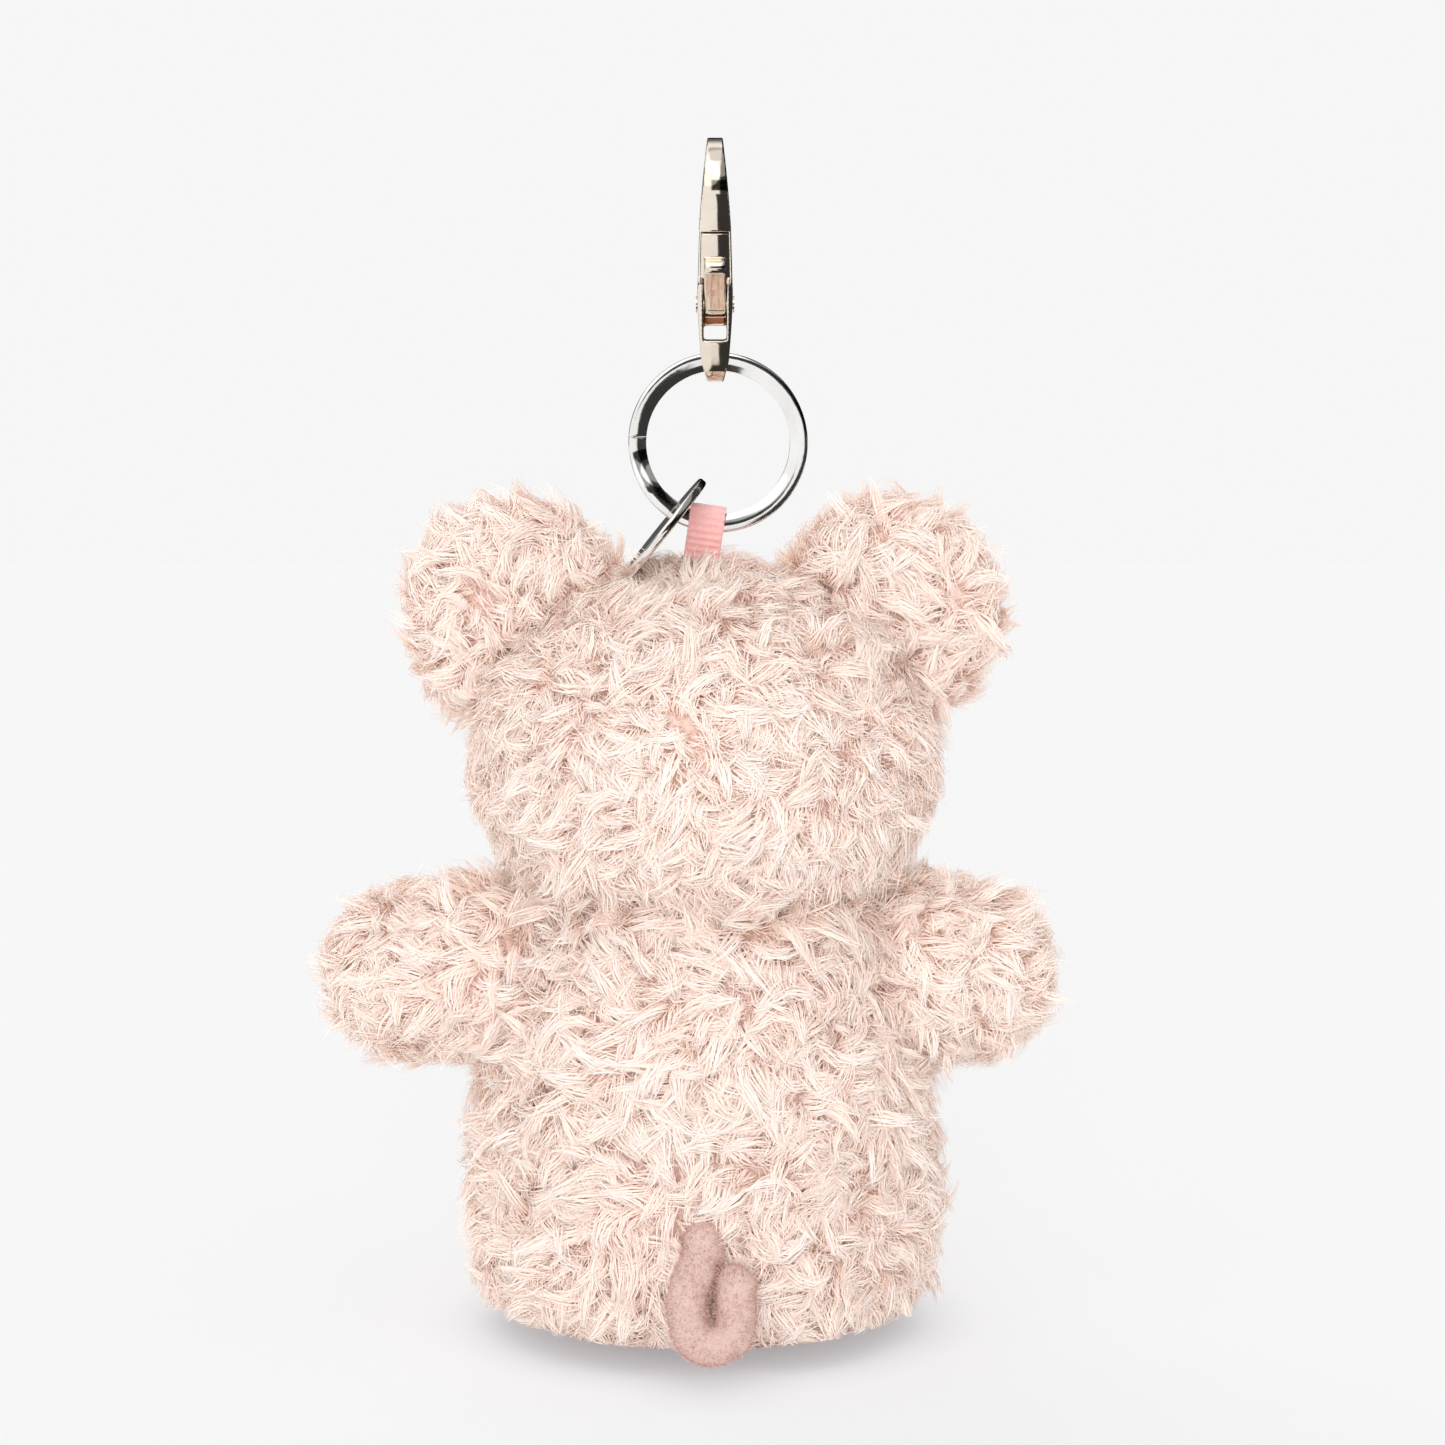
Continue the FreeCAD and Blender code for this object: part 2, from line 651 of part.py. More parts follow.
def clasp_side_profile():
    """The clasp seen edge-on: thick at the cheeks, thin at the eye and the top."""
    bottom = -CLASP_EYE_RADIUS
    points = [
        Base.Vector(CLASP_EYE_THICKNESS / 2, 0, bottom),
        Base.Vector(CLASP_THICKNESS / 2, 0, CHEEK_LEVEL),
        Base.Vector(CLASP_TIP_THICKNESS / 2, 0, CLASP_HEIGHT),
    ]
    right = Part.BSplineCurve()
    right.interpolate(points)
    left = Part.BSplineCurve()
    left.interpolate([Base.Vector(-p.x, 0, p.z) for p in reversed(points)])
    top = Part.LineSegment(points[-1], Base.Vector(-points[-1].x, 0, points[-1].z))
    base = Part.LineSegment(Base.Vector(-points[0].x, 0, bottom), points[0])
    wire = Part.Wire([right.toShape(), top.toShape(), left.toShape(), base.toShape()])
    return moved(Part.Face(wire).extrude(Y_AXIS * BIG), y=-BIG / 2)


def pivot(x=0.0):
    """The middle of the gate's pin, or a point along it."""
    return Base.Vector(x, PIVOT_Y, PIVOT_UP)


def claw_reach():
    """The distance from the pin to the claw's end, on the clasp's outline."""
    lean = math.asin((CLASP_TOP_RADIUS - CLASP_EYE_RADIUS) / (CLASP_HEIGHT - CLASP_TOP_RADIUS))
    edge_y = CLASP_EYE_RADIUS / math.cos(lean) + CLAW_LEVEL * math.tan(lean)
    return math.hypot(edge_y - PIVOT_Y, CLAW_LEVEL - PIVOT_UP)


def place_clasp(shape):
    """Moves a clasp piece from the drawing to its place on the ring."""
    place = on_ring(CLASP_ANGLE)
    return moved(shape, place.x, place.y, place.z)


def make_clasp_body():
    """The hook, its two cheeks and the eye that holds the ring, in one casting."""
    body = clasp_outside(CLASP_THICKNESS).common(clasp_side_profile())
    eye = Part.makeCylinder(EYE_HOLE_RADIUS, BIG, Base.Vector(-BIG / 2, 0, 0), X_AXIS)
    half_slot = SLOT_WIDTH / 2
    mouth = box((-BIG, 0, HOOK_FLOOR), (BIG, BIG, CLAW_LEVEL + CLASP_WALL))
    sweep = Part.makeCylinder(claw_reach(), BIG, pivot(-BIG / 2), X_AXIS)
    slot = box((-half_slot, SLOT_BACK, SLOT_BOTTOM), (half_slot, BIG, CLAW_LEVEL))
    through = box(
        (-half_slot, -BIG, SLOT_BOTTOM), (half_slot, BIG, SLOT_BOTTOM + SLOT_THROUGH_HEIGHT)
    )
    pin_hole = Part.makeCylinder(PIN_RADIUS + PIN_SEAT_CLEARANCE, BIG, pivot(-BIG / 2), X_AXIS)
    cuts = [
        eye,
        clasp_opening(BIG),
        mouth.common(sweep),
        slot.common(sweep),
        through,
        pin_hole,
    ]
    save("clasp_body", place_clasp(one_solid(body.cut(cuts))))


def make_gate():
    """The gate: a full-width blade, and a narrow root with the thumb piece and the lug."""
    wall = clasp_outside(GATE_WIDTH).cut(clasp_opening(BIG))
    reach = claw_reach() - GATE_END_CLEARANCE
    sweep = Part.makeCylinder(reach, BIG, pivot(-BIG / 2), X_AXIS)
    band = box((-BIG, 0, GATE_BOTTOM), (BIG, BIG, BIG))
    blade = wall.common(band).common(sweep).common(clasp_side_profile())

    root_width = SLOT_WIDTH - 2 * GATE_SIDE_CLEARANCE
    start = -root_width / 2
    lug = Part.makeCylinder(GATE_LUG_RADIUS, root_width, pivot(start), X_AXIS)
    lean = math.asin((CLASP_TOP_RADIUS - CLASP_EYE_RADIUS) / (CLASP_HEIGHT - CLASP_TOP_RADIUS))
    edge_y = CLASP_EYE_RADIUS / math.cos(lean) + THUMB_UP * math.tan(lean)
    thumb_middle = Base.Vector(start, edge_y + THUMB_REACH - THUMB_RADIUS, THUMB_UP)
    thumb = Part.makeCylinder(THUMB_RADIUS, root_width, thumb_middle, X_AXIS)
    link = Part.makePolygon(
        [
            Base.Vector(start, PIVOT_Y - GATE_LUG_RADIUS * 0.7, PIVOT_UP + GATE_LUG_RADIUS * 0.7),
            Base.Vector(start, PIVOT_Y + GATE_LUG_RADIUS * 0.9, PIVOT_UP - GATE_LUG_RADIUS * 0.4),
            Base.Vector(start, thumb_middle.y + THUMB_RADIUS * 0.6, THUMB_UP - THUMB_RADIUS * 0.8),
            Base.Vector(start, thumb_middle.y, THUMB_UP + THUMB_RADIUS),
            Base.Vector(start, edge_y - CLASP_WALL * 0.7, THUMB_UP + THUMB_RADIUS),
            Base.Vector(start, PIVOT_Y - GATE_LUG_RADIUS * 0.7, PIVOT_UP + GATE_LUG_RADIUS * 0.7),
        ]
    )
    web = Part.Face(link).extrude(X_AXIS * root_width)
    hole = Part.makeCylinder(PIN_RADIUS + PIN_RUNNING_CLEARANCE, BIG, pivot(-BIG / 2), X_AXIS)
    gate = blade.fuse([lug, thumb, web]).cut(hole)
    save("gate", place_clasp(one_solid(gate)))


def make_pin():
    """The rivet that the gate turns on, with a low head on each cheek."""
    half = CLASP_THICKNESS / 2
    shank = Part.makeCylinder(PIN_RADIUS, 2 * half, pivot(-half), X_AXIS)
    right = Part.makeCylinder(PIN_HEAD_RADIUS, PIN_HEAD_PROUD, pivot(half), X_AXIS)
    left = Part.makeCylinder(PIN_HEAD_RADIUS, PIN_HEAD_PROUD, pivot(-half), -X_AXIS)
    save("gate_pin", place_clasp(one_solid(shank.fuse([right, left]))))


def make_spring():
    """The leaf spring: one leg lies on the spine, the other presses the gate's lug."""
    back = SLOT_BACK + SPRING_CLEARANCE
    front = PIVOT_Y - GATE_LUG_RADIUS - SPRING_CLEARANCE
    t = SPRING_THICKNESS
    outline = Part.makePolygon(
        [
            Base.Vector(0, back, SPRING_TOP),
            Base.Vector(0, back, SPRING_BOTTOM),
            Base.Vector(0, back + 2 * t, SPRING_BOTTOM),
            Base.Vector(0, front, PIVOT_UP),
            Base.Vector(0, front - t, PIVOT_UP),
            Base.Vector(0, back + t, SPRING_BOTTOM + 2 * t),
            Base.Vector(0, back + t, SPRING_TOP),
            Base.Vector(0, back, SPRING_TOP),
        ]
    )
    leaf = Part.Face(outline).extrude(X_AXIS * SPRING_WIDTH)
    save("gate_spring", place_clasp(moved(leaf, x=-SPRING_WIDTH / 2)))


make_torso()
make_head()
make_face()
make_ears()
make_limbs()
make_tail()
make_ribbon()
make_ring()
make_tag()
make_clasp_body()
make_gate()
make_pin()
make_spring()

shoulders = [tuple(shoulder(side)) for side in SIDES.values()]
print("shoulders", shoulders)
print("tail root", tuple(tail_root()))
print("ribbon root", tuple(ribbon_root()), "axis", tuple(ring_tangent(RIBBON_ANGLE)))
print("ring centre", tuple(RING_CENTRE))
print("tag hole", tuple(on_ring(TAG_ANGLE)), "axis", tuple(ring_tangent(TAG_ANGLE)))
print("clasp eye", tuple(on_ring(CLASP_ANGLE)))
print("gate pin", tuple(on_ring(CLASP_ANGLE) + pivot()))
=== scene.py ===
"""Studio scene of a plush keychain: curly fleece, velour trims, ribbon, split ring, disc tag and clasp."""

import json
import math

import bmesh
import bpy
import numpy as np
from mathutils import Matrix, Vector, noise
from mathutils.bvhtree import BVHTree
from mathutils.kdtree import KDTree


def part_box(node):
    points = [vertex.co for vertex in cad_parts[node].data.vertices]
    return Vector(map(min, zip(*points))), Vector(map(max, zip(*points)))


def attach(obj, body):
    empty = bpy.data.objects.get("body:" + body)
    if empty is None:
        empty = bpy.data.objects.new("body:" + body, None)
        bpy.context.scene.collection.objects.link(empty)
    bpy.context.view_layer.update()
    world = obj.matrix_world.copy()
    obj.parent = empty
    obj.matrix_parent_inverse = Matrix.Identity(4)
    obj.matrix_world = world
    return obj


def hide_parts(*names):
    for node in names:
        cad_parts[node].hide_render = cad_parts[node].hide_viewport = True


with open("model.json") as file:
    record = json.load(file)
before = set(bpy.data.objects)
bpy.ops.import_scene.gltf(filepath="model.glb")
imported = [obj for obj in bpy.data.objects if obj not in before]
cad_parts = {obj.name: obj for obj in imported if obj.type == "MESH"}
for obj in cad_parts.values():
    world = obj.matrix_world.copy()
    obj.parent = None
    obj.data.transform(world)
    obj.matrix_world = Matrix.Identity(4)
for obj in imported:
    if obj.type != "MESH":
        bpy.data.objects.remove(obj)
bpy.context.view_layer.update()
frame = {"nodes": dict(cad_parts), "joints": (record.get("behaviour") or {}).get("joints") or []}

MM = 0.001
SIDES = {"left": 1, "right": -1}
JOINTS = {joint["name"]: joint for joint in frame["joints"]}
noise.seed_set(11)  # left alone it starts from the clock, and the fleece would lie differently each time

# ---- camera and light ----
LENS = 100.0  # millimetres, on the camera's 36 mm sensor
SENSOR = 36.0
FRAME_WIDTH = 0.203  # metres seen across at the middle of the object
AIM = Vector((-0.00258, 0.0, 0.0858))
ELEVATION = math.radians(7.0)
FLOOR_SHADE = 10.0 * MM  # how far the floor's painted contact shadow reaches
FLOOR_REACH = 1.3  # metres from the middle to each edge
FLOOR_EVENNESS = 0.7  # how much of the floor's seen tone is its even pale colour with a painted contact shadow, and not the lamps' light
AMBIENT = (0.66, 0.66, 0.665, 1.0)  # what the surround lights cloth with

# ---- sizes of the fur ----
BACKING_INSET = 1.7 * MM  # how far the cloth lies inside the outline that its fur fills
FLOOR_CLEARANCE = 0.25 * MM
FUR_OVERLAP = 0.8 * MM  # how far one form's fur goes on inside its neighbour
LOCK_SPACING = 1.85 * MM
LOCK_LENGTH = 6.4 * MM
FOOT_LOCK_LENGTH = 4.6 * MM
LOCK_WIDTH = 1.3 * MM
FUR_SEGMENTS = 4
FIBRES = 36  # in one lock
UNDERCOAT_FIBRES = 16
FIBRE_WIDTH = 0.19 * MM
NAP_DENSITY = 11e6  # velour fibres on a square metre
NAP_LENGTH = 0.6 * MM
NAP_WIDTH = 0.1 * MM
PIECE_LIMIT = 199000  # triangles in one piece of fur
BASE_RADIUS = 17.0 * MM  # of the part of the torso's base that touches the floor
BASE_SLOPE = 0.26
ARM_STRETCH = {"left": 2.4 * MM, "right": -2.2 * MM}  # the two arms' fur is not laid alike


def srgb(red, green, blue):
    """A colour given as it is seen on a screen, 0 to 255, as linear light with alpha."""
    out = []
    for value in (red, green, blue):
        value /= 255
        out.append(value / 12.92 if value <= 0.04045 else ((value + 0.055) / 1.055) ** 2.4)
    return (*out, 1.0)


def unit(v):
    """Vectors along the last axis, each made one long."""
    return v / np.maximum(np.linalg.norm(v, axis=-1, keepdims=True), 1e-9)


# ---- nodes ----
class Nodes:
    """A node tree, with short calls for the nodes that the scene uses."""

    def __init__(self, tree):
        self.tree = tree

    def add(self, kind, **values):
        node = self.tree.nodes.new("ShaderNode" + kind)
        for key, value in values.items():
            if hasattr(node, key):
                setattr(node, key, value)
            else:
                node.inputs[key.replace("_", " ")].default_value = value
        return node

    def link(self, start, end):
        self.tree.links.new(start, end)

    def parts_of(self, vector):
        node = self.add("SeparateXYZ")
        self.link(vector, node.inputs["Vector"])
        return node.outputs

    def ramp(self, value, stops):
        node = self.add("ValToRGB")
        points = node.color_ramp.elements
        while len(points) < len(stops):
            points.new(0.5)
        for point, (place, colour) in zip(points, stops):
            point.position = place
            point.color = colour
        self.link(value, node.inputs["Fac"])
        return node.outputs["Color"]

    def mix(self, share, one, two, blend="MIX"):
        node = self.add("Mix", data_type="RGBA", blend_type=blend)
        for socket, value in ((node.inputs[0], share), (node.inputs[6], one), (node.inputs[7], two)):
            if isinstance(value, bpy.types.NodeSocket):
                self.link(value, socket)
            else:
                socket.default_value = value
        return node.outputs[2]

    def step(self, value, start, end):
        """0 up to one value and 1 past another, with a short slope between."""
        node = self.add("MapRange")
        node.inputs["From Min"].default_value = start
        node.inputs["From Max"].default_value = end
        self.link(value, node.inputs["Value"])
        return node.outputs["Result"]

    def times(self, one, two, operation="MULTIPLY"):
        node = self.add("Math", operation=operation)
        for value, socket in zip((one, two), node.inputs):
            if isinstance(value, bpy.types.NodeSocket):
                self.link(value, socket)
            else:
                socket.default_value = value
        return node.outputs[0]

    def larger(self, one, two):
        return self.times(one, two, "MAXIMUM")

    def blend_surfaces(self, share, one, two):
        node = self.add("MixShader")
        for value, socket in zip((share, one, two), node.inputs):
            self.link(value, socket)
        return node.outputs[0]


class Shader(Nodes):
    """A material's nodes, round its one principled surface."""

    def __init__(self, name):
        self.material = bpy.data.materials.new(name)
        self.material.use_nodes = True
        super().__init__(self.material.node_tree)
        self.surface = self.tree.nodes["Principled BSDF"]

    def set(self, **values):
        for key, value in values.items():
            self.surface.inputs[key.replace("_", " ")].default_value = value

    def noise(self, scale, detail=2.0, roughness=0.5, distortion=0.0):
        place = self.add("TexCoord")
        node = self.add("TexNoise", Scale=scale, Detail=detail, Roughness=roughness, Distortion=distortion)
        self.link(place.outputs["Object"], node.inputs["Vector"])
        return node.outputs["Fac"]

    def fibre_map(self):
        """Each fibre's own tone, and the way from its root to its tip, both 0 to 1."""
        place = self.add("UVMap", uv_map="OFBake")
        parts = self.parts_of(place.outputs["UV"])
        return parts["X"], parts["Y"]

    def colour(self, socket):
        self.link(socket, self.surface.inputs["Base Color"])

    def bump(self, height, distance):
        node = self.add("Bump", Distance=distance, Strength=1.0)
        self.link(height, node.inputs["Height"])
        self.link(node.outputs["Normal"], self.surface.inputs["Normal"])

    def rough(self, value, low, high):
        node = self.add("MapRange")
        node.inputs["To Min"].default_value = low
        node.inputs["To Max"].default_value = high
        self.link(value, node.inputs["Value"])
        self.link(node.outputs["Result"], self.surface.inputs["Roughness"])


def fur_material():
    """Fleece fibres: deeper pink towards the root, a painted shade deep in the fur, nearly white at the
    tip, each lock its own tone.
    """
    shader = Shader("fleece_fur")
    tone, along = shader.fibre_map()
    # Painted shade: each fibre's colour darkens to a deeper pink towards its root, where it lies deep in
    # the fur.
    along = shader.ramp(
        along,
        [(0.0, srgb(254, 234, 223)), (0.4, srgb(254, 243, 236)), (1.0, srgb(253, 247, 243))],
    )
    tone = shader.ramp(
        tone,
        [(0.0, srgb(254, 248, 244)), (0.5, srgb(254, 252, 250)), (1.0, srgb(255, 255, 254))],
    )
    shader.colour(shader.mix(1.0, along, tone, "MULTIPLY"))
    shader.set(Roughness=0.85, Specular_IOR_Level=0.2, Sheen_Weight=0.3, Sheen_Roughness=0.4)
    shader.set(Sheen_Tint=srgb(255, 240, 234))
    return shader.material


def nap_material():
    """The velour's fibres, a little lighter at their tips."""
    shader = Shader("velour_nap")
    tone, along = shader.fibre_map()
    along = shader.ramp(along, [(0.0, srgb(206, 168, 157)), (1.0, srgb(240, 210, 201))])
    tone = shader.ramp(
        tone,
        [(0.0, srgb(214, 196, 190)), (0.4, srgb(248, 242, 240)), (1.0, srgb(255, 255, 255))],
    )
    shader.colour(shader.mix(1.0, along, tone, "MULTIPLY"))
    shader.set(Roughness=0.85, Specular_IOR_Level=0.2, Sheen_Weight=0.2)
    return shader.material


def backing_material():
    """The cloth under the fur, a deeper pink that is partly painted shade between the locks, with the short
    pile between the locks.
    """
    shader = Shader("fleece_backing")
    fine = shader.noise(2600.0, 3.0)
    broad = shader.noise(320.0, 2.0)
    # The deeper pink is partly the cloth's own colour and partly painted shade deep between the locks.
    base = shader.ramp(broad, [(0.3, srgb(252, 214, 200)), (0.7, srgb(254, 226, 215))])
    shader.colour(shader.mix(fine, base, srgb(255, 245, 240)))
    shader.bump(fine, 0.0004)
    shader.set(Roughness=0.95, Specular_IOR_Level=0.1, Sheen_Weight=0.2)
    return shader.material


def velour_material():
    """Short dense nap in dusty rose, with a fine speckle of light and shade."""
    shader = Shader("velour")
    fine = shader.noise(3400.0, 4.0, 0.65)
    broad = shader.noise(260.0, 3.0)
    base = shader.ramp(broad, [(0.3, srgb(214, 174, 163)), (0.7, srgb(226, 190, 180))])
    shader.colour(shader.mix(fine, base, srgb(246, 222, 214)))
    shader.bump(fine, 0.0003)
    shader.set(Roughness=0.9, Specular_IOR_Level=0.15, Sheen_Weight=0.35, Sheen_Roughness=0.35)
    shader.set(Sheen_Tint=srgb(255, 230, 222))
    return shader.material


def plain_material(name, low, high, scale, roughness, bump, **values):
    """A material whose colour wanders between two, over a fine bump."""
    shader = Shader(name)
    grain = shader.noise(scale, 3.0)
    shader.colour(shader.ramp(grain, [(0.3, low), (0.7, high)]))
    shader.rough(grain, *roughness)
    shader.bump(grain, bump)
    shader.set(**values)
    return shader.material


def metal_material(name, low, high, roughness):
    """Plated metal: a mirror with faint waves, hairline scratches and cloudy patches."""
    shader = Shader(name)
    cloud = shader.noise(180.0, 3.0)
    hair = shader.noise(1400.0, 2.0, 0.6, 1.5)
    shader.colour(shader.ramp(cloud, [(0.35, low), (0.65, high)]))
    shader.rough(hair, *roughness)
    shader.bump(cloud, 0.00004)
    shader.set(Metallic=1.0)
    return shader.material


# ---- meshes ----
def mesh_object(name, points, faces, material, smooth=True):
    """A mesh object from points in metres and faces."""
    mesh = bpy.data.meshes.new(name)
    mesh.from_pydata([tuple(p) for p in points], [], [tuple(f) for f in faces])
    mesh.update()
    piece = bpy.data.objects.new(name, mesh)
    bpy.context.scene.collection.objects.link(piece)
    mesh.materials.append(material)
    mesh.polygons.foreach_set("use_smooth", [smooth] * len(mesh.polygons))
    return piece


def node_points(name):
    """A CAD node's points and triangles."""
    data = frame["nodes"][name].data
    points = np.zeros(len(data.vertices) * 3, np.float32)
    data.vertices.foreach_get("co", points)
    return points.reshape(-1, 3), [tuple(face.vertices) for face in data.polygons]


def tree_of(points, faces):
    return BVHTree.FromPolygons([tuple(p) for p in points], faces)


def band_faces(rows, around, turned=False):
    """The faces between rows of points, each row closed on itself."""
    faces = []
    for i in range(rows - 1):
        for j in range(around):
            k = (j + 1) % around
            face = (i * around + j, i * around + k, (i + 1) * around + k, (i + 1) * around + j)
            faces.append(face[:1] + face[:0:-1] if turned else face)
    return faces


def scattered(points, normals, faces, area, count, rng):
    """Random points spread evenly over some triangles, and their normals."""
    pick = rng.choice(len(area), count, p=area / area.sum())
    u, v = rng.random((2, count))
    flip = u + v > 1
    u[flip], v[flip] = 1 - u[flip], 1 - v[flip]
    share = np.stack([1 - u - v, u, v], axis=1)[:, :, None]
    return (points[faces[pick]] * share).sum(axis=1), unit((normals[faces[pick]] * share).sum(axis=1))


def turned_tree(name, azimuth=45.0, steps=90, around=128):
    """A tree of the full form that a turned CAD node was cut from, from its outline at one azimuth."""
    points, faces = node_points(name)
    tree = tree_of(points, faces)
    low, high = points[:, 2].min(), points[:, 2].max()
    turn = math.radians(azimuth)
    out = Vector((math.cos(turn), math.sin(turn), 0))
    outline = []
    for n in range(steps + 1):
        share = (1 - math.cos(math.pi * n / steps)) / 2
        z = low + (high - low) * min(max(share, 1e-4), 1 - 1e-4)
        hit = tree.ray_cast(out * 0.2 + Vector((0, 0, z)), -out)[0]
        if hit is not None and hit.x * out.x > 0:
            outline.append((math.hypot(hit.x, hit.y), z))
    outline = [(0.0, low)] + outline + [(0.0, high)]
    ring = np.linspace(0, 2 * math.pi, around, endpoint=False)
    form = [(r * math.cos(a), r * math.sin(a), z) for r, z in outline for a in ring]
    return tree_of(form, band_faces(len(outline), around))


class Skin:
    """A closed form's surface as evenly spread points, with normals and a tree."""

    def __init__(self, tree, centre, level):
        ball = bmesh.new()
        bmesh.ops.create_icosphere(ball, subdivisions=level, radius=1.0)
        centre = Vector(centre)
        points = []
        for vertex in ball.verts:
            way = vertex.co.normalized()
            hit = tree.ray_cast(centre + way * 0.2, -way)[0]
            points.append(hit if hit is not None else centre)
        self.faces = np.array([[v.index for v in face.verts] for face in ball.faces])
        ball.free()
        self.reshape(np.array([tuple(p) for p in points]))

    def reshape(self, points):
        """Takes new points, and works out their normals and the tree."""
        self.points = points
        a, b, c = (self.points[self.faces[:, n]] for n in range(3))
        self.face_normals = np.cross(b - a, c - a)
        normals = np.zeros_like(self.points)
        for n in range(3):
            np.add.at(normals, self.faces[:, n], self.face_normals)
        self.normals = unit(normals)
        self.tree = tree_of(self.points, [tuple(int(v) for v in face) for face in self.faces])

    def depth(self, points):
        """How deep each point lies inside the form, in metres, and minus its distance if outside."""
        out = np.zeros(len(points))
        for n, p in enumerate(points):
            near, normal, _, gap = self.tree.find_nearest(Vector(p))
            inside = (Vector(p) - near).dot(normal) < 0
            out[n] = gap if inside else -gap
        return out

    def roots(self, spacing, rng):
        """Points spread over the surface about one spacing apart, and their normals."""
        area = np.linalg.norm(self.face_normals, axis=1) / 2
        count = int(area.sum() / spacing**2 * 3.2)
        points, normals = scattered(self.points, self.normals, self.faces, area, count, rng)
        near = KDTree(count)
        for n, p in enumerate(points):
            near.insert(p, n)
        near.balance()
        free = np.ones(count, bool)
        kept = []
        for n in range(count):
            if free[n]:
                kept.append(n)
                for _, other, _ in near.find_range(points[n], spacing * 0.86):
                    free[other] = False
        return points[kept], normals[kept]


def hem_height(points, rounded_base):
    """How low a point may lie: on the floor, or on the rounded edge of the torso's base."""
    if not rounded_base:
        return np.full(points.shape[:-1], FLOOR_CLEARANCE)
    out = np.hypot(points[..., 0], points[..., 1])
    return FLOOR_CLEARANCE + np.clip(out - BASE_RADIUS, 0, None) * BASE_SLOPE


# ---- fur ----
def wander(points, scale, seed):
    """A smooth field of directions over space."""
    shift = Vector((seed * 7.1, seed * 3.7, seed * 5.3))
    return np.array([noise.noise_vector(Vector(p) * scale + shift) for p in points])


def grow_locks(roots, normals, comb, length, width, rng, base, fibres, upright):
    """Ribbon fibres in curled locks: corners (lock, fibre, step, side, xyz), and each fibre's tone."""
    count = len(roots)
    s = np.linspace(0, 1, FUR_SEGMENTS + 1)  # along a lock, from its root to its tip
    tangent = unit(comb - (comb * normals).sum(1, keepdims=True) * normals)
    stray = np.radians(rng.normal(0, 46, count))[:, None]
    other = np.cross(normals, tangent)
    tangent, other = (
        np.cos(stray) * tangent + np.sin(stray) * other,
        np.cos(stray) * other - np.sin(stray) * tangent,
    )
    start = np.radians(rng.uniform(5, 40, count))[:, None]
    end = np.radians(rng.uniform(78, 135, count) * (1 - upright))[:, None]
    bend = np.radians(rng.normal(0, 80, count))[:, None]
    lean = start + (end - start) * s**0.8
    turn = bend * (s - 0.15)
    way = (
        np.cos(lean)[..., None] * normals[:, None]
        + (np.sin(lean) * np.cos(turn))[..., None] * tangent[:, None]
        + (np.sin(lean) * np.sin(turn))[..., None] * other[:, None]
    )
    step = (length / FUR_SEGMENTS)[:, None, None] * (way[:, 1:] + way[:, :-1]) / 2
    guide = np.concatenate([np.zeros((count, 1, 3)), np.cumsum(step, axis=1)], axis=1)
    u = unit(np.cross(way, normals[:, None] + 0.3 * other[:, None]))
    v = np.cross(way, u)

    # Round each lock's line, its fibres spread, twist, gather at the tip and now and then stray.
    shape = (0.5 + 0.5 * np.sin(np.pi * s**0.75)) * (1 - 0.55 * s**2.5)
    around = rng.uniform(0, 2 * np.pi, (count, 1)) + np.arange(fibres) * 2 * np.pi / fibres
    around = around + rng.normal(0, 0.3, (count, fibres))
    twist = rng.normal(0, 1.2, (count, 1, 1))
    angle = around[..., None] + twist * s
    reach = (width * rng.uniform(0.7, 1.3, count))[:, None, None]
    reach = reach * np.sqrt(rng.uniform(0.12, 1.15, (count, fibres, 1))) * shape
    radial = np.cos(angle)[..., None] * u[:, None] + np.sin(angle)[..., None] * v[:, None]
    share = rng.uniform(0.72, 1.15, (count, fibres, 1, 1))
    loose = rng.normal(0, 0.14, (count, fibres, 1, 3))
    loose = loose * np.where(rng.random((count, fibres, 1, 1)) < 0.15, 4.0, 1.0)
    loose = loose * (s**1.6)[None, None, :, None] * width
    phase = rng.uniform(0, 2 * np.pi, (2, count, fibres, 1))
    wave = np.stack([np.sin(phase[0] + s * 10.0), np.cos(phase[1] + s * 8.0)], axis=-1) * 0.1 * width
    line = roots[:, None, None] + guide[:, None] * share + radial * reach[..., None] + loose
    line = line + wave[..., :1] * u[:, None] + wave[..., 1:] * v[:, None]
    # Each fibre is a flat ribbon that faces out of the lock, and it tapers to its tip.
    facing = unit(normals[:, None, None] * 0.75 + radial * 0.5)
    side = unit(np.cross(np.broadcast_to(way[:, None], radial.shape), facing))
    half = 0.5 * FIBRE_WIDTH * (0.6 + 0.4 * np.sin(np.pi * s)) * (1 - 0.75 * s**3)
    half = half[None, None, :, None] * rng.uniform(0.7, 1.25, (count, fibres, 1, 1))
    corners = np.stack([line - side * half, line + side * half], axis=3)
    low = hem_height(corners, base) + rng.random((count, fibres, 1, 1)) * 0.5 * MM
    corners[..., 2] = np.where(corners[..., 2] < low, low + (corners[..., 2] - low) * 0.02, corners[..., 2])
    tone = rng.uniform(0.05, 0.95, (count, 1)) * 0.75 + rng.uniform(0, 0.22, (count, fibres))
    return corners, tone


